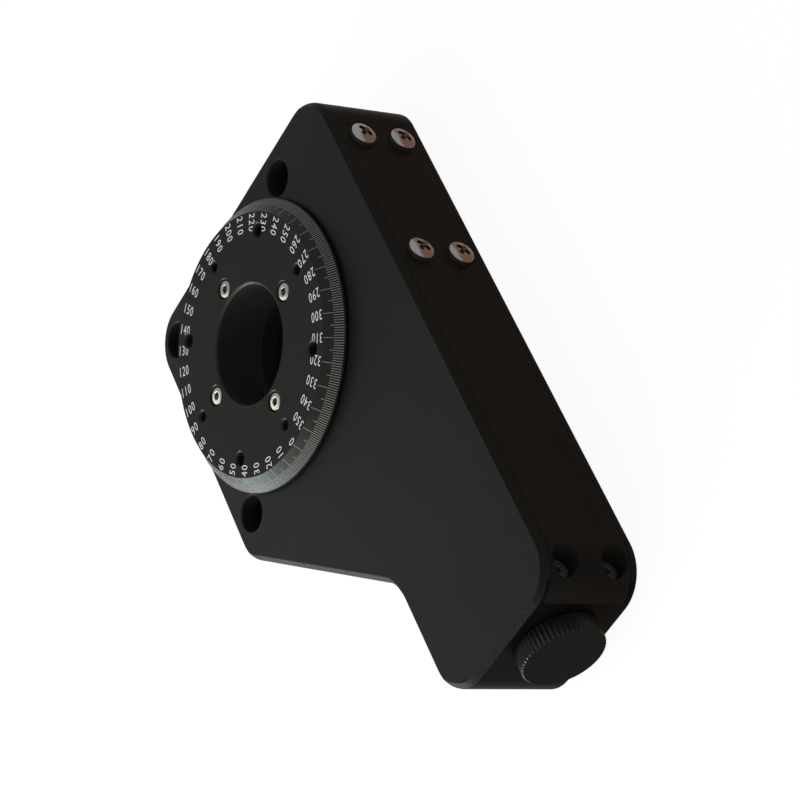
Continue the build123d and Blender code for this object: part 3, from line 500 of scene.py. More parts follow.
class Solid:
    """Points and faces of closed meshes, in millimetres."""

    def __init__(self, points: Sequence[Vector], faces: Sequence[Sequence[int]]) -> None:
        """Holds the points and the faces."""
        self.points = [Vector(p) for p in points]
        self.faces = [tuple(f) for f in faces]

    @classmethod
    def loft(cls, rings: Sequence[Sequence[Vector]]) -> "Solid":
        """A solid through closed rings of as many points each, capped at both ends.

        Args:
            rings: The rings, from one end to the other.

        Returns:
            The solid.
        """
        count = len(rings[0])
        faces: list[Sequence[int]] = [list(reversed(range(count)))]
        for low in range(0, (len(rings) - 1) * count, count):
            for i in range(count):
                j = (i + 1) % count
                faces.append((low + i, low + j, low + count + j, low + count + i))
        faces.append(range((len(rings) - 1) * count, len(rings) * count))
        return cls([p for ring in rings for p in ring], faces)

    @classmethod
    def lathe(cls, profile: Sequence[Point], steps: int) -> "Solid":
        """A profile turned about Z.

        Args:
            profile: (radius, height) points. It closes on itself, or starts and ends at radius 0.
            steps: How many facets go round.

        Returns:
            The solid.
        """
        points: list[Vector] = []
        rings: list[list[int]] = []
        for radius, height in profile:
            turns = 1 if radius == 0 else steps
            rings.append([len(points) + i for i in range(turns)] * (steps // turns))
            for i in range(turns):
                angle = 2 * math.pi * i / steps
                points.append(Vector((radius * math.cos(angle), radius * math.sin(angle), height)))
        closed = profile[0][0] > 0
        faces = []
        for k in range(len(rings) if closed else len(rings) - 1):
            low, high = rings[k], rings[(k + 1) % len(rings)]
            for i in range(steps):
                j = (i + 1) % steps
                corners = (low[i], low[j], high[j], high[i])
                faces.append(tuple(dict.fromkeys(corners)))
        return cls(points, faces)

    @classmethod
    def prism(cls, corners: Sequence[Point], low: float, high: float) -> "Solid":
        """A prism along Z between two heights."""
        return cls.loft([[Vector((x, y, z)) for x, y in corners] for z in (low, high)])

    @classmethod
    def block(cls, low: Place, high: Place) -> "Solid":
        """A block between two corners."""
        (x0, y0, z0), (x1, y1, z1) = low, high
        return cls.prism([(x0, y0), (x1, y0), (x1, y1), (x0, y1)], z0, z1)

    @classmethod
    def hexagon(cls, across: float, low: float, high: float) -> "Solid":
        """A hexagonal prism along Z, by its size across the flats.

        Args:
            across: Size across the flats.
            low: Height of its lower end.
            high: Height of its upper end.

        Returns:
            The prism.
        """
        radius = across / math.sqrt(3)
        angles = [k * math.pi / 3 for k in range(6)]
        return cls.prism([(radius * math.cos(a), radius * math.sin(a)) for a in angles], low, high)

    @classmethod
    def cylinder(cls, radius: float, low: float, high: float, steps: int) -> "Solid":
        """A cylinder along Z between two heights."""
        return cls.lathe([(0, low), (radius, low), (radius, high), (0, high)], steps)

    @classmethod
    def group(cls, parts: Sequence["Solid"]) -> "Solid":
        """Several solids in one.

        Args:
            parts: The solids.

        Returns:
            One solid with all their points and faces.
        """
        points: list[Vector] = []
        faces: list[Sequence[int]] = []
        for part in parts:
            faces += [tuple(i + len(points) for i in face) for face in part.faces]
            points += part.points
        return cls(points, faces)

    def moved(self, matrix: Matrix) -> "Solid":
        """A copy in another place."""
        return Solid([matrix @ p for p in self.points], self.faces)

    def object(self, name: str, finish: Optional[bpy.types.Material] = None) -> bpy.types.Object:
        """Makes a Blender object in metres, with its faces outwards.

        Args:
            name: The object's name.
            finish: Its material.

        Returns:
            The object.
        """
        mesh = bpy.data.meshes.new(name)
        mesh.from_pydata([p * MM for p in self.points], [], self.faces)
        shell = bmesh.new()
        shell.from_mesh(mesh)
        bmesh.ops.recalc_face_normals(shell, faces=shell.faces)
        shell.to_mesh(mesh)
        shell.free()
        if finish:
            mesh.materials.append(finish)
        made = bpy.data.objects.new(name, mesh)
        bpy.context.scene.collection.objects.link(made)
        return made


def rectangle(half_x: float, half_y: float) -> list[Point]:
    """The corners of a rectangle about the origin, counter-clockwise."""
    return [(-half_x, -half_y), (half_x, -half_y), (half_x, half_y), (-half_x, half_y)]


def drill(
    low: float, high: float, radius: float, mouth: float, head: Optional[Point] = None, foot: float = 0.0
) -> list[Point]:
    """The profile of a cutter for a through hole with a chamfered mouth.

    Args:
        low: Height of the lower face.
        high: Height of the upper face.
        radius: Radius of the hole.
        mouth: Width of the chamfer at the upper face.
        head: Radius and depth of a counterbore.
        foot: Width of a chamfer at the lower face.

    Returns:
        Its (radius, height) points.
    """
    if foot:
        profile = [(0, low - PAST_FACE), (radius + foot + PAST_FACE, low - PAST_FACE), (radius, low + foot)]
    else:
        profile = [(0, low - PAST_FACE), (radius, low - PAST_FACE)]
    if head:
        head_radius, depth = head
        profile += [(radius, high - depth), (head_radius, high - depth)]
        radius = head_radius
    profile += [(radius, high - mouth), (radius + mouth + PAST_FACE, high + PAST_FACE)]
    return profile + [(0, high + PAST_FACE)]


def slanted(u: float, v: float, z: float) -> Vector:
    """A point of the slanted frame, in the part's frame."""
    return U_AXIS * u + V_AXIS * v + Z_AXIS * z


def plane(origin: Vector, x_axis: Vector, z_axis: Vector) -> Matrix:
    """The matrix of a plane with an origin, an x axis and a normal."""
    columns = (x_axis, z_axis.cross(x_axis), z_axis)
    return Matrix.Translation(origin) @ Matrix(columns).transposed().to_4x4()


SLANTED = plane(Vector((0, 0, 0)), U_AXIS, Z_AXIS)


def shaft_plane(u: float) -> Matrix:
    """Square to the worm shaft at u, with its origin on the shaft."""
    return plane(slanted(u, Worm().v, Worm().z), V_AXIS, U_AXIS)


def side_plane(v: float) -> Matrix:
    """Parallel to the long side at v, facing out, with x against u."""
    return plane(slanted(0, v, Worm().z), -U_AXIS, V_AXIS)


def bake(made: bpy.types.Object) -> bpy.types.Object:
    """Turns an object with modifiers into a plain mesh.

    Args:
        made: The object.

    Returns:
        The object, with its modifiers applied.
    """
    graph = bpy.context.evaluated_depsgraph_get()
    old = made.data
    mesh = bpy.data.meshes.new_from_object(made.evaluated_get(graph))
    made.modifiers.clear()
    made.data = mesh
    mesh.name = made.name
    bpy.data.meshes.remove(old)
    return made


def carve(
    made: bpy.types.Object, cutters: Sequence[Solid], wall: Optional[bpy.types.Material] = None
) -> bpy.types.Object:
    """Cuts solids out of an object.

    Args:
        made: The object.
        cutters: What is taken away.
        wall: The material of the new faces, where it isn't the object's own.

    Returns:
        The object, as a plain mesh.
    """
    tools = [cutter.object(f"cutter_{i}", wall) for i, cutter in enumerate(cutters)]
    for tool in tools:
        cut = made.modifiers.new(tool.name, "BOOLEAN")
        cut.operation = "DIFFERENCE"
        cut.solver = "EXACT"
        cut.material_mode = "TRANSFER" if wall else "INDEX"
        cut.object = tool
    bake(made)
    for tool in tools:
        bpy.data.meshes.remove(tool.data)
    return made


def dress(
    made: bpy.types.Object, finish: Finish, chosen: Callable[[bpy.types.MeshPolygon], bool]
) -> None:
    """Gives some faces of a mesh a second finish.

    Args:
        made: The object.
        finish: The finish.
        chosen: Says which faces take it.
    """
    made.data.materials.append(finish.material())
    last = len(made.data.materials) - 1
    for face in made.data.polygons:
        if chosen(face):
            face.material_index = last


def polish(made: bpy.types.Object) -> bpy.types.Object:
    """Shades curved faces smooth, keeps edges sharp and flat faces flat.

    Args:
        made: The object, as a plain mesh.

    Returns:
        The object.
    """
    made.data.polygons.foreach_set("use_smooth", [True] * len(made.data.polygons))
    made.data.set_sharp_from_angle(angle=SMOOTH_ANGLE)
    weighted = made.modifiers.new("even normals", "WEIGHTED_NORMAL")
    weighted.keep_sharp = True
    return made


def seat(
    made: bpy.types.Object, body: Body, slot: Optional[Slot] = None, replaced: Sequence[str] = ()
) -> None:
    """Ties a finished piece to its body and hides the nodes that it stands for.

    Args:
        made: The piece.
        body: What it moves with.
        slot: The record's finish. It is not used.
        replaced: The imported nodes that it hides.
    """
    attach(made, body.value)
    if replaced:
        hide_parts(*replaced)
    logging.info("%s: %d faces on %s", made.name, len(made.data.polygons), body.value)


class Tree(Graph):
    """A Geometry Nodes tree with named inputs."""

    def __init__(self, name: str, sockets: dict[str, str]) -> None:
        """Starts a tree.

        Args:
            name: Its name.
            sockets: The type of each input, by name.
        """
        super().__init__(bpy.data.node_groups.new(name, "GeometryNodeTree"))
        for label, kind in sockets.items():
            self.tree.interface.new_socket(name=label, in_out="INPUT", socket_type=f"NodeSocket{kind}")
        self.tree.interface.new_socket(name="Geometry", in_out="OUTPUT", socket_type="NodeSocketGeometry")
        self.inputs = self.node("NodeGroupInput")

    def end(self, geometry: Value) -> bpy.types.NodeTree:
        """Realizes, gives the material and ends the tree.

        Args:
            geometry: What the tree has made.

        Returns:
            The finished tree.
        """
        plain = self.node("GeometryNodeRealizeInstances", {}, {"Geometry": geometry})
        inputs = {"Geometry": plain, "Material": self.inputs.output("Material")}
        dressed = self.node("GeometryNodeSetMaterial", {}, inputs)
        self.node("NodeGroupOutput", {}, {0: dressed})
        return self.tree

    def instances(self, points: Value, rotation: Optional[Value] = None) -> Value:
        """The tree's input geometry on points.

        Args:
            points: The points.
            rotation: How each copy is turned.

        Returns:
            The copies.
        """
        inputs: dict[str, Any] = {"Points": points, "Instance": self.inputs.output("Geometry")}
        if rotation is not None:
            inputs["Rotation"] = rotation
        return self.node("GeometryNodeInstanceOnPoints", {}, inputs)


def polar_tree() -> bpy.types.NodeTree:
    """Copies turned about Z: inputs Count, Start and Step, in radians.

    Returns:
        The tree.
    """
    sockets = {
        "Geometry": "Geometry",
        "Count": "Int",
        "Start": "Float",
        "Step": "Float",
        "Material": "Material",
    }
    tree = Tree("polar array", sockets)
    points = tree.node("GeometryNodePoints", {}, {"Count": tree.inputs.output("Count")})
    angle = tree.inputs.output("Start") + tree.node("GeometryNodeInputIndex") * tree.inputs.output("Step")
    turn = tree.node("ShaderNodeCombineXYZ", {}, {"X": 0.0, "Y": 0.0, "Z": angle})
    rotation = tree.node("FunctionNodeEulerToRotation", {}, {0: turn})
    return tree.end(tree.instances(points, rotation))


def grid_tree() -> bpy.types.NodeTree:
    """Copies on a grid in XY: inputs Columns, Rows, Width and Height between the outer centres.

    Returns:
        The tree.
    """
    sockets = {
        "Geometry": "Geometry",
        "Columns": "Int",
        "Rows": "Int",
        "Width": "Float",
        "Height": "Float",
        "Material": "Material",
    }
    tree = Tree("grid array", sockets)
    inputs = {
        "Size X": tree.inputs.output("Width"),
        "Size Y": tree.inputs.output("Height"),
        "Vertices X": tree.inputs.output("Columns"),
        "Vertices Y": tree.inputs.output("Rows"),
    }
    grid = tree.node("GeometryNodeMeshGrid", {}, inputs)
    points = tree.node("GeometryNodeMeshToPoints", {}, {"Mesh": grid})
    return tree.end(tree.instances(points))


def serration_tree() -> bpy.types.NodeTree:
    """A disc on XY with straight V grooves round it and both edges turned down.

    Its inputs are Teeth, Radius, Depth of the grooves, Width of the disc and Chamfer. Each tooth has
    six points, and every point takes the smaller of the groove's radius and the chamfer's. Four
    rings of points, numbered from 0, stand at the two faces and at the inner ends of the chamfers.

    Returns:
        The tree.
    """
    sockets = {
        "Teeth": "Int",
        "Radius": "Float",
        "Depth": "Float",
        "Width": "Float",
        "Chamfer": "Float",
        "Material": "Material",
    }
    tree = Tree("serrated disc", sockets)
    given = tree.inputs.output
    bands, tooth_points, groove_share, seam = 3, 6.0, 0.45, 0.001
    sides = given("Teeth") * tooth_points
    inputs = {"Vertices": sides, "Side Segments": bands, "Radius": 1.0, "Depth": 1.0}
    disc = tree.node("GeometryNodeMeshCylinder", {"fill_type": "NGON"}, inputs)
    place = tree.node("ShaderNodeSeparateXYZ", {}, {0: tree.node("GeometryNodeInputPosition")})
    x, y, z = place.output("X"), place.output("Y"), place.output("Z")
    angle = tree.math("ARCTAN2", y, x)
    phase = (angle / (2 * math.pi) * given("Teeth") + given("Teeth") + seam).fraction()
    groove = (1.0 - abs(phase - 0.5) / groove_share).most(0.0)
    ring = (z + 0.5) * bands
    first, last = 1.0 - (ring > 0.5), ring > bands - 0.5
    limit = given("Radius") - given("Chamfer") * (first + last)
    radius = (given("Radius") - given("Depth") * groove).least(limit)
    inner_width = given("Width") - 2.0 * given("Chamfer")
    height = given("Chamfer") * (1.0 - first + last) + inner_width * (ring > 1.5)
    inputs = {
        "X": tree.math("COSINE", angle) * radius,
        "Y": tree.math("SINE", angle) * radius,
        "Z": height,
    }
    moved = tree.node("ShaderNodeCombineXYZ", {}, inputs)
    shaped = tree.node("GeometryNodeSetPosition", {}, {"Geometry": disc, "Position": moved})
    return tree.end(shaped)


def grow(made: bpy.types.Object, tree: bpy.types.NodeTree, values: dict[str, Any]) -> bpy.types.Object:
    """Runs a Geometry Nodes tree on an object and keeps its result as a plain mesh.

    Args:
        made: The object, whose mesh is the tree's input geometry.
        tree: The tree.
        values: Its other inputs, by name.

    Returns:
        The object.
    """
    modifier = made.modifiers.new(tree.name, "NODES")
    modifier.node_group = tree
    for item in tree.interface.items_tree:
        if item.in_out == "INPUT" and item.name in values:
            modifier[item.identifier] = values[item.name]
    return bake(made)


def move(made: bpy.types.Object, matrix: Matrix) -> None:
    """Moves a mesh by a matrix in millimetres, with its object left at the origin."""
    made.data.transform(Matrix.Scale(MM, 4) @ matrix @ Matrix.Scale(1 / MM, 4))


@dataclass
class Worm:
    """Where the worm shaft lies."""

    v: float = 39.5
    z: float = 16.0


@dataclass
class Outline:
    """The housing's outline in the slanted frame, with rounded corners."""

    left: float = 44.5
    long_side: float = 65.0
    end: float = 142.0
    tail_side: float = 9.5
    foot: float = 63.5
    radius: float = 12.5
    steps: int = 18

    def corners(self) -> list[Vector]:
        """The sharp corners, counter-clockwise.

        Returns:
            The corners as (u, v) points.
        """
        run = self.foot * math.sqrt(2)
        points = [
            (-self.left, -self.left),
            (run - self.left, -self.left),
            (run + self.tail_side, self.tail_side),
            (self.end, self.tail_side),
            (self.end, self.long_side),
            (-self.left, self.long_side),
        ]
        return [Vector(p) for p in points]

    def points(self) -> list[tuple[Vector, Vector]]:
        """The rounded outline.

        Returns:
            Each point with its outward normal.
        """
        corners = self.corners()
        found = []
        for k, corner in enumerate(corners):
            before = (corner - corners[k - 1]).normalized()
            after = (corners[(k + 1) % len(corners)] - corner).normalized()
            turn = math.atan2(before.x * after.y - before.y * after.x, before.dot(after))
            side = math.copysign(1, turn)
            start = corner - before * self.radius * math.tan(abs(turn) / 2)
            centre = start + Vector((-before.y, before.x)) * side * self.radius
            for i in range(self.steps + 1):
                angle = turn * i / self.steps
                outwards = Vector((before.y, -before.x))
                outwards.rotate(Matrix.Rotation(angle, 2))
                found.append((centre + outwards * side * self.radius, outwards))
        return found

    def round_corner(self, number: int) -> list[tuple[Vector, Vector]]:
        """The points and normals of one rounded corner."""
        count = self.steps + 1
        return self.points()[number * count : (number + 1) * count]


def rounded_chamfer(width: float, ease: float) -> list[Point]:
    """The (inset, rise) points of a 45 degree chamfer whose two edges are rounded a little.

    Args:
        width: Width of the chamfer.
        ease: How far each rounding reaches past its edge.

    Returns:
        The points, from the flat face out to the side.
    """
    along, across = 0.076, 0.184  # the middle of the rounding, as shares of its length
    flat, bend_out, bend_in = ease / math.sqrt(2), along * ease, across * ease
    return [
        (width + ease, 0.0),
        (width + bend_out, bend_in),
        (width - flat, flat),
        (flat, width - flat),
        (bend_in, width - bend_out),
        (0.0, width + ease),
    ]


@dataclass
class Housing:
    """The housing: an outline with chamfered edges, bores, bays and mounting holes.

    The bays are boxes in the slanted frame. The head of a bolt has a radius and a depth. The worm
    bore lies between its shoulder and its end on u, and the relief behind its bearing has a radius
    and a place on u. The last four numbers sort sides and faces by their normals.
    """

    outline: Outline = field(default_factory=Outline)
    height: float = 32.0
    chamfer: float = 0.5
    top_chamfer: float = 1.5
    ease: float = 0.14
    mouth: float = 0.35
    mount_radius: float = 50.0
    bolt_hole: float = 3.3
    bolt_head: Point = (5.5, 7.0)
    carrier_radius: float = 41.6
    carrier_top: float = 3.0
    carrier_mouth: float = 0.4
    wheel_radius: float = 37.0
    wheel_top: float = 22.5
    bearing_radius: float = 34.02
    bearing_top: float = 29.5
    throat_radius: float = 31.4
    motor_bay: tuple[Place, Place] = ((27.4, 26.5, 4.2), (130.5, 64.0, 27.8))
    worm_bay: tuple[Place, Place] = ((-19.4, 30.0, 8.5), (19.4, 64.0, 23.5))
    worm_bore: float = 7.52
    worm_bore_end: float = 31.4
    worm_shoulder: float = -25.9
    worm_relief: Point = (5.0, -26.4)
    shaft_hole: float = 3.0
    shaft_hole_start: float = 129.0
    cover_margin: float = 2.4
    cover_start: float = -28.55
    cover_corner: float = 2.15
    cover_corner_steps: int = 8
    cover_floor: float = 63.0
    block_start: float = 128.35
    block_floor: float = 54.0
    upright: float = 0.5
    level: float = 0.98
    narrow_side: float = 0.5
    corner_middle: float = -0.05

    def chamfer_at(self, normal: Vector) -> float:
        """The top chamfer's width where the outline faces along a normal: narrow where that is -X.

        Args:
            normal: The outline's outward normal.

        Returns:
            The width.
        """
        facing = normal.dot(Vector((1, 1)).normalized())
        share = min(1.0, max(0.0, 1.0 + facing / self.narrow_side))
        return self.chamfer + (self.top_chamfer - self.chamfer) * share

    def shell(self) -> Solid:
        """The outside, through rings of the outline.

        Returns:
            The solid.
        """
        outline = self.outline.points()
        bottom = rounded_chamfer(self.chamfer, self.ease)
        tops = [rounded_chamfer(self.chamfer_at(normal), self.ease) for _, normal in outline]
        rings = []
        for inset, rise in bottom:
            inner = [point - normal * inset for point, normal in outline]
            rings.append([slanted(p.x, p.y, rise) for p in inner])
        for k in reversed(range(len(bottom))):
            ring = []
            for (point, normal), profile in zip(outline, tops):
                inset, rise = profile[k]
                inner = point - normal * inset
                ring.append(slanted(inner.x, inner.y, self.height - rise))
            rings.append(ring)
        return Solid.loft(rings)

    def bores(self) -> Iterator[Solid]:
        """What is turned and milled out along the dial axis and the worm shaft.

        Returns:
            The cutters.
        """
        rim = self.carrier_radius + self.carrier_mouth
        profile = [
            (0, -PAST_FACE),
            (rim, -PAST_FACE),
            (rim, 0),
            (self.carrier_radius, self.carrier_mouth),
            (self.carrier_radius, self.carrier_top),
            (self.wheel_radius, self.carrier_top),
            (self.wheel_radius, self.wheel_top),
            (self.bearing_radius, self.wheel_top),
            (self.bearing_radius, self.bearing_top),
            (self.throat_radius, self.bearing_top),
            (self.throat_radius, self.height + PAST_FACE),
            (0, self.height + PAST_FACE),
        ]
        yield Solid.lathe(profile, steps=192)
        for bay in (self.motor_bay, self.worm_bay):
            yield Solid.block(*bay).moved(SLANTED)
        relief_radius, relief = self.worm_relief
        profile = [
            (0, relief),
            (relief_radius, relief),
            (relief_radius, self.worm_shoulder),
            (self.worm_bore, self.worm_shoulder),
            (self.worm_bore, self.worm_bore_end),
            (0, self.worm_bore_end),
        ]
        yield Solid.lathe(profile, steps=96).moved(shaft_plane(0))
        end = self.outline.end + PAST_FACE
        yield Solid.cylinder(self.shaft_hole, self.shaft_hole_start, end, steps=48).moved(shaft_plane(0))

    def recess(self) -> Iterator[Solid]:
        """The seat of the side cover: a plate with two rounded corners, and the block at its end.

        Returns:
            The cutters.
        """
        beyond = self.outline.end + PAST_END
        half = self.height / 2 - self.cover_margin
        radius = self.cover_corner
        ring = [(-beyond, -half), (-self.cover_start - radius, -half)]
        for side in (-1, 1):
            centre = (-self.cover_start - radius, side * (half - radius))
            for i in range(1, self.cover_corner_steps + 1):
                share = i / self.cover_corner_steps
                angle = math.pi / 2 * (share if side > 0 else share - 1)
                ring.append((centre[0] + radius * math.cos(angle), centre[1] + radius * math.sin(angle)))
        ring.append((-beyond, half))
        depth = self.outline.long_side - self.cover_floor
        yield Solid.prism(ring, -depth, PAST_SIDE).moved(side_plane(self.outline.long_side))
        low = (self.block_start, self.block_floor, self.cover_margin)
        high = (beyond, self.outline.long_side + PAST_SIDE, self.height - self.cover_margin)
        yield Solid.block(low, high).moved(SLANTED)

    def mounting_holes(self) -> Iterator[Solid]:
        """The three counterbored holes, with a small chamfer at each mouth.

        Returns:
            The cutters.
        """
        profile = drill(0.0, self.height, self.bolt_hole, self.mouth, self.bolt_head, self.mouth)
        hole = Solid.lathe(profile, steps=96)
        for x, y in ((0, self.mount_radius), (0, -self.mount_radius), (-self.mount_radius, 0)):
            yield hole.moved(Matrix.Translation((x, y, 0)))

    def is_long_side(self, face: bpy.types.MeshPolygon) -> bool:
        """Whether a face belongs to the long side, as far as the middle of its round corners."""
        return abs(face.normal.z) < self.upright and face.normal.y > self.corner_middle

    def is_top_edge(self, face: bpy.types.MeshPolygon) -> bool:
        """Whether a face belongs to the chamfer round the top."""
        return self.upright < face.normal.z < self.level

    def build(self) -> None:
        """Makes the housing."""
        made = self.shell().object("housing_body", BODY_BLACK.material())
        carve(made, [*self.bores(), *self.recess()])
        # Upright faces take a darker copy of the black as painted shade.
        dress(made, SIDES_PAINTED_SHADE, lambda face: abs(face.normal.z) < self.upright)
        # The long side takes a lighter, browner copy of the black as a painted reflection.
        dress(made, LONG_SIDE_PAINTED_REFLECTION, self.is_long_side)
        # The top chamfers take a lighter copy of the black as a painted highlight.
        dress(made, TOP_EDGE_PAINTED_HIGHLIGHT, self.is_top_edge)
        # The mounting hole walls take a lighter black as painted light.
        carve(made, [*self.mounting_holes()], BORE_WALL_PAINTED_LIGHT.material())
        seat(polish(made), Body.BASE, Slot.BODY, ["housing"])


@dataclass
class SideCover:
    """The cover let into the long side, with its thick end at the rounded corner.

    Its plate has two rounded corners, built at heights that are shares of their radius. The screws
    stand at a place on u, at a height above and below the shaft, and on a seat on v. The last
    number keeps the points of its outline apart.
    """

    housing: Housing
    gap: float = 0.15
    corner: float = 2.0
    corner_shares: Sequence[float] = (0.2, 0.35, 0.5, 0.7, 1.0)
    ease: float = 0.2
    ease_share: float = 0.3
    counterbore: float = 4.3
    screw_u: float = 134.4
    screw_z: float = 8.3
    screw_seat: float = 56.5
    wrapped_corner: int = 4
    least_step: float = 0.01

    def ring(self, start: float, inset: float, height: float) -> list[Vector]:
        """The cover's outline at one height.

        Args:
            start: Where the plate starts along u.
            inset: How far its outer edges are eased.
            height: The height.

        Returns:
            The points, counter-clockwise.
        """
        housing = self.housing
        block_floor = housing.block_floor + self.gap
        block_start = housing.block_start + self.gap
        points = [
            (start, housing.outline.long_side - inset),
            (start, housing.cover_floor),
            (block_start, housing.cover_floor),
            (block_start, block_floor),
            (housing.outline.end - inset, block_floor),
        ]
        for point, normal in housing.outline.round_corner(self.wrapped_corner):
            inner = point - normal * inset
            points.append((inner.x, max(inner.y, block_floor + self.least_step)))
        return [slanted(u, v, height) for u, v in points]

    def shell(self) -> Solid:
        """The plate and its block, with rounded corners at the start.

        Returns:
            The solid.
        """
        low = self.housing.cover_margin + self.gap
        high = self.housing.height - low
        start = self.housing.cover_start + self.gap
        middle = self.ease * self.ease_share
        stations = [(0.0, self.ease), (middle, middle), (self.ease, 0.0)]
        stations += [(self.corner * share, 0.0) for share in self.corner_shares]
        rings = []
        for rise, inset in stations:
            bow = self.corner - math.sqrt(max(0.0, self.corner**2 - (self.corner - rise) ** 2))
            rings.append((low + rise, start + bow, inset))
        rings += [(low + high - z, begin, inset) for z, begin, inset in reversed(rings)]
        return Solid.loft([self.ring(begin, inset, z) for z, begin, inset in rings])

    def build(self) -> None:
        """Makes the cover."""
        made = self.shell().object("side_cover_plate", COVER_BLACK.material())
        reach = self.housing.outline.long_side - self.screw_seat + PAST_SIDE
        hole = Solid.cylinder(self.counterbore, 0, reach, steps=72)
        cutters = []
        for side in (-1, 1):
            place = Matrix.Translation((-self.screw_u, side * self.screw_z, 0))
            cutters.append(hole.moved(side_plane(self.screw_seat) @ place))
        # The counterbore walls take a lighter black as painted light.
        carve(made, cutters, BORE_WALL_PAINTED_LIGHT.material())
        seat(polish(made), Body.BASE, Slot.COVER, ["side_cover"])


@dataclass
class Dial:
    """The platform: a bevelled disc with its holes, graduations and numbers.

    The bends are the shares of the easing at which the middle of a rounded edge lies. The heads of
    the four screws have a radius and a depth. Holes and screws start at an angle in degrees, and so
    do the numbers.
    """

    rim: float = 44.0
    face: float = 39.6
    bottom: float = 32.5
    rim_top: float = 33.2
    top: float = 37.7
    aperture: float = 18.0
    spigot: float = 19.98
    spigot_end: float = 20.8
    spigot_chamfer: float = 0.4
    aperture_mouth: float = 0.65
    mouth: float = 0.45
    ease: float = 0.12
    rim_bend: Point = (0.35, 1.2)
    face_bend: Point = (0.25, 0.22)
    mouth_bend: float = 0.3
    level: float = 0.98
    hole_radius: float = 2.1
    hole_circle: float = 34.0
    hole_start: float = 0.0
    small_hole_radius: float = 1.65
    small_hole_circle: float = 32.0
    screw_hole: float = 1.7
    screw_head: Point = (3.1, 3.4)
    screw_mouth: float = 0.3
    screw_circle: float = 22.75
    screw_start: float = 45.0
    mark_proud: float = 0.015
    mark_sunk: float = 0.03
    mark_width: float = 0.2
    mark_lean: float = 0.7
    tick_outer: float = 43.85
    tick_inner: float = 41.75
    middle_tick_inner: float = 41.0
    long_tick_inner: float = 39.65
    number_outer: float = 39.4
    number_start: float = 315.0
    digit_pitch: float = 1.95
    digit_height: float = 2.95
    digit_squeeze: float = 0.78
    digit_thinning: float = -0.002
    same_point: float = 1e-5

    def height_at(self, radius: float) -> float:
        """The height of the bevel or of the flat face at a radius."""
        slope = (self.top - self.rim_top) / (self.rim - self.face)
        return self.top - max(0.0, radius - self.face) * slope

    def platform(self) -> bpy.types.Object:
        """The disc with its spigot, aperture and holes.

        Returns:
            The disc, with its finishes.
        """
        ease, mouth, bend = self.ease, self.aperture_mouth, self.ease * self.mouth_bend
        rim_bend, bevel_bend = ease * self.rim_bend[0], ease * self.rim_bend[1]
        profile = [
            (self.aperture + self.spigot_chamfer, self.spigot_end),
            (self.spigot, self.spigot_end),
            (self.spigot, self.bottom),
            (self.rim - ease, self.bottom),
            (self.rim, self.bottom + ease),
            (self.rim, self.rim_top - ease),
            (self.rim - rim_bend, self.height_at(self.rim - ease)),
            (self.rim - bevel_bend, self.height_at(self.rim - bevel_bend)),
            (self.face + ease, self.height_at(self.face + ease)),
            (self.face + ease * self.face_bend[0], self.top - ease * self.face_bend[1]),
            (self.face - ease, self.top),
            (self.aperture + mouth + ease, self.top),
            (self.aperture + mouth, self.top - bend),
            (self.aperture + bend, self.top - mouth),
            (self.aperture, self.top - mouth - ease),
            (self.aperture, self.spigot_end + self.spigot_chamfer),
        ]
        made = Solid.lathe(profile, steps=256).object("dial_platform", DIAL_BLACK.material())
        sunk = drill(self.bottom, self.top, self.screw_hole, self.screw_mouth, self.screw_head)
        small_hole = self.drilled(self.small_hole_radius)
        cutters = self.four(self.hole_circle, self.hole_start, self.drilled(self.hole_radius))
        cutters += self.four(self.small_hole_circle, self.screw_start, small_hole)
        cutters += self.four(self.screw_circle, self.screw_start, Solid.lathe(sunk, steps=72))
        carve(made, cutters)
        # Faces that aren't flat take a lighter copy of the dial's black as painted light.
        dress(made, DIAL_EDGE_PAINTED_LIGHT, lambda face: abs(face.normal.z) < self.level)
        return polish(made)

    def drilled(self, radius: float) -> Solid:
        """A through hole with a chamfered mouth."""
        return Solid.lathe(drill(self.bottom, self.top, radius, self.mouth), steps=56)

    def four(self, circle: float, start: float, hole: Solid) -> list[Solid]:
        """A cutter four times on a circle, from an angle in degrees on."""
        turns = [Matrix.Rotation(math.radians(start + 90 * k), 4, "Z") for k in range(4)]
        return [hole.moved(turn @ Matrix.Translation((circle, 0, 0))) for turn in turns]

    def mark(self, inner: float, angle: float = 0.0) -> Solid:
        """One graduation: a thin bar that follows the bevel and is inlaid in it.

        Args:
            inner: Radius of its inner end.
            angle: Where it stands, in degrees.

        Returns:
            The bar.
        """
        side = Vector((0, self.mark_width / 2, 0))
        rings = []
        for radius in (inner, self.tick_outer):
            lean = 0.0 if radius <= self.face else self.mark_proud * self.mark_lean
            high = Vector((radius + lean, 0, self.height_at(radius) + self.mark_proud))
            low = Vector((radius - lean, 0, self.height_at(radius) - self.mark_sunk))
            rings.append([low - side, low + side, high + side, high - side])
        return Solid.loft(rings).moved(Matrix.Rotation(math.radians(angle), 4, "Z"))

    def graduations(self, array: bpy.types.NodeTree, paint: bpy.types.Material) -> bpy.types.Object:
        """Marks every degree, longer every 5 and longest every 10.

        Args:
            array: The tree that turns copies about Z.
            paint: The material of the marks.

        Returns:
            The marks as one piece.
        """
        fine = Solid.group([self.mark(self.tick_inner, angle) for angle in (1, 2, 3, 4)])
        middle, long = self.mark(self.middle_tick_inner), self.mark(self.long_tick_inner)
        parts = []
        # Middle and long marks take turns every 5 degrees, and four fine ones follow each.
        for solid, count, start in ((fine, 72, 0), (middle, 36, 0), (long, 36, 5)):
            values = {
                "Count": count,
                "Start": math.radians(start),
                "Step": 2 * math.pi / count,
                "Material": paint,
            }
            parts.append(grow(solid.object("dial_graduations"), array, values))
        return join(parts)

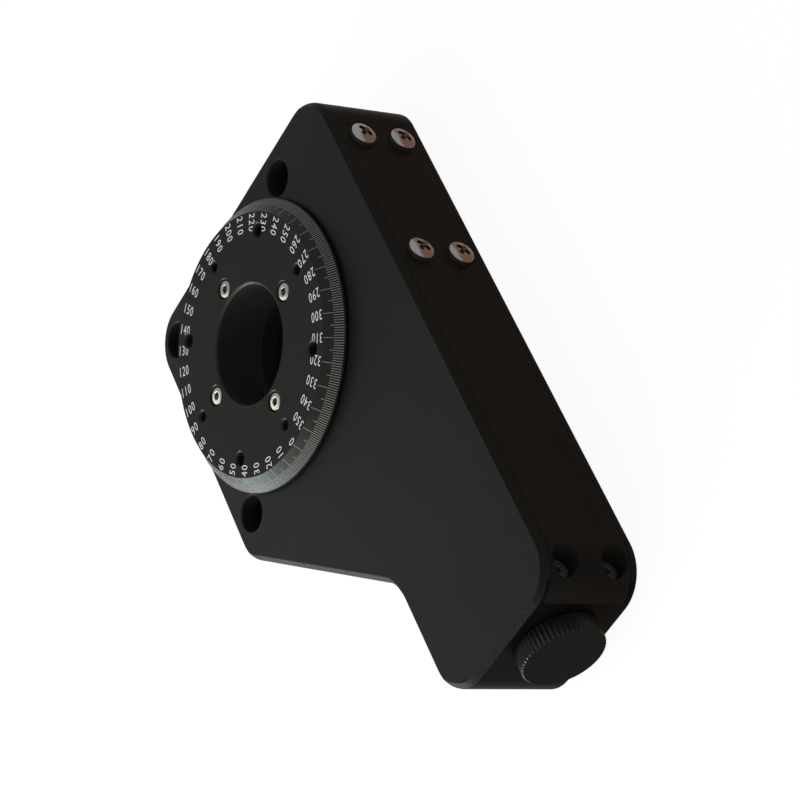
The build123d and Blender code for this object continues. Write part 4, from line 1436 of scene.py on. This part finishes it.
    def numbers(self, paint: bpy.types.Material) -> bpy.types.Object:
        """Numbers every 10 degrees, read along the radius with their first digit outside.

        Args:
            paint: The material of the digits.

        Returns:
            The digits as one piece.
        """
        digits = [self.digit(str(k)) for k in range(10)]
        half_turn = Matrix.Rotation(math.pi, 4, "Z")
        lettering = []
        for label in range(0, 360, 10):
            angle = math.radians(self.number_start - label)
            turn = Matrix.Rotation(angle, 4, "Z") @ Matrix.Translation((self.number_outer, 0, self.top))
            for place, character in enumerate(str(label)):
                shift = Matrix.Translation((-(place + 0.5) * self.digit_pitch, 0, 0))
                lettering.append(digits[int(character)].moved(turn @ shift @ half_turn))
        made = Solid.group(lettering).object("dial_numbers", paint)
        holes = self.four(self.hole_circle, self.hole_start, self.drilled(self.hole_radius))
        return carve(made, holes)

    def digit(self, character: str) -> Solid:
        """One digit as a thin plate, centred on the origin and facing up.

        Args:
            character: The digit.

        Returns:
            The plate.
        """
        curve = bpy.data.curves.new("digit", "FONT")
        curve.body = character
        curve.extrude = 0.5
        curve.offset = self.digit_thinning
        curve.resolution_u = 3
        shape = bpy.data.objects.new("digit", curve)
        bpy.context.scene.collection.objects.link(shape)
        graph = bpy.context.evaluated_depsgraph_get()
        mesh = bpy.data.meshes.new_from_object(shape.evaluated_get(graph))
        shell = bmesh.new()
        shell.from_mesh(mesh)
        bmesh.ops.remove_doubles(shell, verts=shell.verts, dist=self.same_point)
        shell.to_mesh(mesh)
        shell.free()
        xs, ys = [v.co.x for v in mesh.vertices], [v.co.y for v in mesh.vertices]
        scale = self.digit_height / (max(ys) - min(ys))
        middle = Vector(((min(xs) + max(xs)) / 2, (min(ys) + max(ys)) / 2, 0))
        points = []
        for vertex in mesh.vertices:
            place = (vertex.co - middle) * scale
            height = self.mark_proud if vertex.co.z > 0 else -self.mark_sunk
            points.append(Vector((place.x * self.digit_squeeze, place.y, height)))
        faces = [tuple(p.vertices) for p in mesh.polygons]
        bpy.data.meshes.remove(mesh)
        bpy.data.curves.remove(curve)
        return Solid(points, faces)

    def build(self, array: bpy.types.NodeTree) -> None:
        """Makes the disc and its white marks.

        Args:
            array: The tree that turns copies about Z.
        """
        seat(self.platform(), Body.ROTOR, Slot.DIAL, ["platform"])
        seat(self.graduations(array, TICK_GREY.material()), Body.ROTOR)
        seat(self.numbers(NUMBER_WHITE.material()), Body.ROTOR)


def join(parts: Sequence[bpy.types.Object]) -> bpy.types.Object:
    """Makes one mesh of several plain ones.

    Args:
        parts: The objects. All meshes but the first one's are removed.

    Returns:
        The first object.
    """
    shell = bmesh.new()
    for part in parts:
        shell.from_mesh(part.data)
    shell.to_mesh(parts[0].data)
    shell.free()
    for part in parts[1:]:
        bpy.data.meshes.remove(part.data)
    return parts[0]


@dataclass
class Screws:
    """The screws that show: socket heads on the dial and at the bend, pan heads on the cover.

    A shank has a radius and a length. The flare widens the mouth of a socket, from a point below the
    top to one above it, each by what it adds to the radius and the height. The pan head's foot and
    shoulder are points in the same way, from its rim at the seat and at the rim's height.
    """

    dial: Dial
    housing: Housing
    cover: SideCover
    dial_head: float = 2.75
    dial_shank: Point = (1.5, 8.0)
    end_head: float = 3.5
    end_shank: Point = (2.0, 10.0)
    shank_chamfer: float = 0.3
    socket_height: float = 3.0
    socket_ease: float = 0.42
    ease_steps: int = 4
    hexagon: float = 2.25
    hexagon_depth: float = 1.2
    flare: Sequence[Point] = ((-0.1, -0.15), (0.95, 0.9))
    pan_head: float = 4.0
    pan_height: float = 3.1
    pan_rim: float = 1.9
    pan_shank: Point = (2.0, 10.0)
    pan_foot: Sequence[Point] = ((-0.3, 0.0), (-0.1, 0.12))
    pan_shoulder: Sequence[Point] = ((0.0, -0.5), (-0.03, -0.2), (-0.12, 0.0))
    pan_spacing: Point = (46.8, 14.0)
    dome_inset: float = 0.3
    dome_steps: int = 14
    cross_arm: float = 2.45
    cross_half: float = 0.72
    cross_depth: float = 2.2
    cross_rise: float = 0.2
    cross_taper: Point = (0.55, 0.8)
    recess_radius: float = 2.4
    recess_low: float = 0.5
    recess_level: float = 0.85

    def socket_screw(self, name: str, head: float, shank: Point) -> bpy.types.Object:
        """A socket-head screw along Z with its seat at z = 0.

        Args:
            name: The object's name.
            head: Radius of the head.
            shank: Radius and length of the shank.

        Returns:
            The screw.
        """
        top, ease, chamfer = self.socket_height, self.socket_ease, self.shank_chamfer
        radius, length = shank
        profile = [(0, -length), (radius - chamfer, -length), (radius, -length + chamfer)]
        profile += [(radius, 0), (head, 0)]
        for i in range(self.ease_steps + 1):
            angle = math.pi / 2 * i / self.ease_steps
            profile.append((head - ease + ease * math.cos(angle), top - ease + ease * math.sin(angle)))
        profile.append((0, top))
        made = Solid.lathe(profile, steps=64).object(name)
        mouth = self.hexagon / math.sqrt(3)
        cone = [(mouth + wider, top + higher) for wider, higher in self.flare]
        flare = Solid.lathe([(0, cone[0][1]), *cone, (0, cone[1][1])], steps=48)
        socket = Solid.hexagon(self.hexagon, top - self.hexagon_depth, top + PAST_FACE)
        return carve(made, [socket, flare])

    def pan_screw(self, name: str) -> bpy.types.Object:
        """A domed screw with a cross recess, along Z with its seat at z = 0.

        Args:
            name: The object's name.

        Returns:
            The screw.
        """
        rim, height, (radius, length) = self.pan_head, self.pan_rim, self.pan_shank
        rise = self.pan_height - height
        sphere = (rim**2 + rise**2) / (2 * rise)
        profile = [(0, -length), (radius, -length), (radius, 0)]
        profile += [(rim + wider, higher) for wider, higher in self.pan_foot]
        profile += [(rim + wider, height + higher) for wider, higher in self.pan_shoulder]
        edge = math.asin((rim - self.dome_inset) / sphere)
        for i in range(self.dome_steps):
            angle = edge * (1 - i / self.dome_steps)
            profile.append((sphere * math.sin(angle), self.pan_height - sphere * (1 - math.cos(angle))))
        profile.append((0, self.pan_height))
        return carve(Solid.lathe(profile, steps=72).object(name), self.cross())

    def cross(self) -> list[Solid]:
        """The cutters of a cross recess: two tapered arms, diagonal to the screw's X and Y.

        Returns:
            The cutters.
        """
        arm, half, (arm_taper, half_taper) = self.cross_arm, self.cross_half, self.cross_taper
        top = self.pan_height
        wide = (arm, half, arm_taper, half_taper)
        tall = (half, arm, half_taper, arm_taper)
        arms = []
        for x, y, x_taper, y_taper in (wide, tall):
            low = [Vector((*p, top - self.cross_depth)) for p in rectangle(x * x_taper, y * y_taper)]
            high = [Vector((*p, top + self.cross_rise)) for p in rectangle(x, y)]
            arms.append(Solid.loft([low, high]).moved(Matrix.Rotation(SLANT, 4, "Z")))
        return arms

    def in_recess(self, face: bpy.types.MeshPolygon) -> bool:
        """Whether a face of the four cover screws is a wall of a cross recess, which takes a dark steel as
        painted shade.

        Args:
            face: The face, with the screws still flat on XY.

        Returns:
            True for such a wall.
        """
        x = abs(abs(face.center.x) - self.pan_spacing[0] / 2 * MM)
        y = abs(abs(face.center.y) - self.pan_spacing[1] / 2 * MM)
        inside = math.hypot(x, y) < self.recess_radius * MM
        return inside and face.center.z > self.recess_low * MM and face.normal.z < self.recess_level

    def build(self, polar: bpy.types.NodeTree, grid: bpy.types.NodeTree) -> None:
        """Makes the three groups of screws.

        Args:
            polar: The tree that turns copies about Z.
            grid: The tree that sets copies on a grid.
        """
        bright, chrome, dull = BRIGHT_STEEL.material(), CHROME.material(), DULL_STEEL.material()
        dial_screw = self.socket_screw("dial_screws", self.dial_head, self.dial_shank)
        depth = self.dial.screw_head[1]
        move(dial_screw, Matrix.Translation((self.dial.screw_circle, 0, self.dial.top - depth)))
        start, step = math.radians(self.dial.screw_start), math.radians(90)
        values = {"Count": 4, "Start": start, "Step": step, "Material": bright}
        seat(polish(grow(dial_screw, polar, values)), Body.ROTOR, Slot.STEEL, ["platform_screws"])
        cover_screw = self.pan_screw("cover_pan_screws")
        width, height = self.pan_spacing[0] * MM, self.pan_spacing[1] * MM
        values = {"Columns": 2, "Rows": 2, "Width": width, "Height": height, "Material": chrome}
        grow(cover_screw, grid, values)
        # The recess walls take dark steel as painted shade.
        dress(cover_screw, RECESS_PAINTED_SHADE, self.in_recess)
        move(cover_screw, side_plane(self.housing.outline.long_side))
        seat(polish(cover_screw), Body.BASE, Slot.CHROME, ["cover_screws"])
        end_screw = self.socket_screw("cover_end_screws", self.end_head, self.end_shank)
        height = 2 * self.cover.screw_z * MM
        values = {"Columns": 1, "Rows": 2, "Width": 0.0, "Height": height, "Material": dull}
        grow(end_screw, grid, values)
        move(end_screw, side_plane(self.cover.screw_seat) @ Matrix.Translation((-self.cover.screw_u, 0, 0)))
        seat(polish(end_screw), Body.BASE, Slot.STEEL, ["end_screws"])


@dataclass
class Knob:
    """The hand knob: a disc with straight serrations, bored from behind."""

    start: float = 142.3
    radius: float = 12.25
    width: float = 5.95
    teeth: int = 54
    depth: float = 0.5
    chamfer: float = 0.4
    bore: float = 2.02
    bore_depth: float = 4.0
    level: float = 0.9

    def build(self, tree: bpy.types.NodeTree) -> None:
        """Makes the knob.

        Args:
            tree: The tree that makes a serrated disc.
        """
        made = Solid([], []).object("knob_serrated")
        values = {
            "Teeth": self.teeth,
            "Radius": self.radius,
            "Depth": self.depth,
            "Width": self.width,
            "Chamfer": self.chamfer,
            "Material": KNOB_BLACK.material(),
        }
        grow(made, tree, values)
        made.data.transform(Matrix.Scale(MM, 4))
        carve(made, [Solid.cylinder(self.bore, -PAST_FACE, self.bore_depth, steps=48)])
        # The rim takes a lighter copy of the knob's black as painted light.
        dress(made, SERRATION_PAINTED_LIGHT, lambda face: abs(face.normal.z) < self.level)
        move(made, shaft_plane(self.start))
        seat(polish(made), Body.WORM, Slot.BODY, ["knob"])


@dataclass
class Lamp:
    """A soft rectangular light."""

    name: str
    place: Place
    target: Place
    size: Point
    power: float
    colour: Colour = (1.0, 1.0, 1.0)

    def build(self) -> None:
        """Hangs the lamp, in metres, out of the camera's sight."""
        light = bpy.data.lights.new(self.name, "AREA")
        light.shape = "RECTANGLE"
        light.size, light.size_y = self.size
        light.energy = self.power
        light.color = self.colour
        made = bpy.data.objects.new(self.name, light)
        made.location = self.place
        ahead = Vector(self.target) - Vector(self.place)
        made.rotation_euler = ahead.to_track_quat("-Z", "Y").to_euler()
        made.visible_camera = False
        bpy.context.scene.collection.objects.link(made)
        logging.info("%s: %.1f W", self.name, self.power)


def sheet(name: str, corners: Sequence[Vector], finish: bpy.types.Material) -> bpy.types.Object:
    """A flat face with four corners, in metres.

    Args:
        name: The object's name.
        corners: Its corners, counter-clockwise from above.
        finish: Its material.

    Returns:
        The object.
    """
    mesh = bpy.data.meshes.new(name)
    mesh.from_pydata(corners, [], [(0, 1, 2, 3)])
    mesh.materials.append(finish)
    made = bpy.data.objects.new(name, mesh)
    bpy.context.scene.collection.objects.link(made)
    return made


@dataclass
class Card:
    """A glowing card on the floor, which only reflections show, between two corners on u and v.

    It is in metres.
    """

    name: str
    low: Point
    high: Point
    colour: Colour
    height: float = 0.0003

    def build(self) -> None:
        """Lays the card down."""
        (u0, v0), (u1, v1) = self.low, self.high
        corners = [slanted(u, v, self.height) for u, v in ((u0, v0), (u1, v0), (u1, v1), (u0, v1))]
        shader = Shader(self.name)
        made = sheet(self.name, corners, shader.end(shader.glow(self.colour)))
        made.visible_camera = made.visible_diffuse = False
        made.visible_shadow = made.visible_transmission = False
        made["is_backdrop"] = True


@dataclass
class Studio:
    """The floor, the lights and the camera, in metres."""

    floor_size: float = 8.0
    floor_drop: float = 0.00005
    floor_glow: float = 0.93
    floor_colour: Colour = (0.97, 0.97, 0.97)
    white: Colour = (1.0, 1.0, 1.0)
    ambient: float = 0.6
    cards: Sequence[Card] = (
        Card("warm_card", (-0.08, 0.066), (0.2, 0.26), (0.55, 0.30, 0.18)),
        Card("corner_card", (0.1435, 0.042), (0.2, 0.0658), (0.75, 0.42, 0.26)),
    )
    camera_place: Place = (0.75446, -0.00585, 0.51953)
    camera_forward: Place = (-0.81393, -0.00792, -0.58091)
    camera_up: Place = (-0.05085, 0.99704, 0.05767)
    lens: float = 135.8
    nearest: float = 0.05
    lamps: Sequence[Lamp] = (
        Lamp("overhead softbox", (-0.28, -0.45, 0.85), (0.03, 0, 0), (0.6, 0.6), 2.4),
        Lamp("tall window", (-0.764, -1.014, 0.235), (0.02, 0, 0.03), (0.9, 0.45), 22.0, (0.80, 1.0, 0.985)),
        Lamp("side window", (-0.02, -0.8, 0.52), (0.05, 0, 0.03), (0.5, 0.25), 4.2, (1.0, 0.98, 0.94)),
        Lamp("screw card", (-0.8, -0.235, 0.57), (0.0, -0.03, 0.03), (0.48, 0.3), 1.1, (1.0, 1.0, 0.8)),
    )

    def floor(self) -> None:
        """A pale floor, white to the camera, that still takes the object's shadow."""
        shader = Shader("white floor")
        seen = shader.seen() * self.floor_glow
        matt = shader.node("ShaderNodeBsdfDiffuse", {}, {"Color": (*self.floor_colour, 1.0)})
        mixed = shader.node("ShaderNodeMixShader", {}, {0: seen, 1: matt, 2: shader.glow(self.white)})
        half = self.floor_size / 2
        corners = [Vector((x, y, -self.floor_drop)) for x, y in rectangle(half, half)]
        made = sheet("floor", corners, shader.end(mixed))
        made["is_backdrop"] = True

    def sky(self) -> None:
        """White to the camera and in reflections, and a plain level as a light."""
        world = bpy.data.worlds.new("studio")
        world.use_nodes = True
        world.node_tree.nodes.clear()
        graph = Graph(world.node_tree)
        strength = self.ambient + (1.0 - self.ambient) * graph.seen()
        inputs = {"Color": (*self.white, 1.0), "Strength": strength}
        light = graph.node("ShaderNodeBackground", {}, inputs)
        graph.node("ShaderNodeOutputWorld", {}, {"Surface": light})
        bpy.context.scene.world = world

    def camera(self) -> None:
        """The camera, where the photograph was taken from."""
        data = bpy.data.cameras.new("camera")
        data.lens = self.lens
        data.clip_start = self.nearest
        made = bpy.data.objects.new("camera", data)
        bpy.context.scene.collection.objects.link(made)
        forward, up = Vector(self.camera_forward).normalized(), Vector(self.camera_up)
        right = forward.cross(up).normalized()
        turn = Matrix((right, right.cross(forward), -forward)).transposed().to_4x4()
        made.matrix_world = Matrix.Translation(self.camera_place) @ turn
        bpy.context.scene.camera = made

    def build(self) -> None:
        """Sets up the studio."""
        self.floor()
        for card in self.cards:
            card.build()
        self.sky()
        for lamp in self.lamps:
            lamp.build()
        self.camera()
        bpy.context.scene.view_settings.view_transform = "Standard"


def dress_nodes() -> None:
    """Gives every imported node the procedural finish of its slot."""
    made = {slot: finish.material() for slot, finish in SLOT_FINISHES.items()}
    for row in frame["record"]["subparts"]:
        node = frame["nodes"][row["node"]]
        for place in node.material_slots:
            place.material = made[row["material_slot"]]
        logging.info("%s: %s", row["node"], row["material_slot"])


def main() -> None:
    """Builds the pieces in order, then the studio."""
    logging.basicConfig(level=logging.INFO, format="%(message)s")
    dress_nodes()
    polar, grid, serrated = polar_tree(), grid_tree(), serration_tree()
    housing, dial = Housing(), Dial()
    cover = SideCover(housing)
    housing.build()
    cover.build()
    dial.build(polar)
    Screws(dial, housing, cover).build(polar, grid)
    Knob().build(serrated)
    Studio().build()
    boxes = {"cad": cad_box, "visual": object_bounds()}
    plain = {name: [list(corner) for corner in box] for name, box in boxes.items()}


if __name__ == "__main__":
    main()
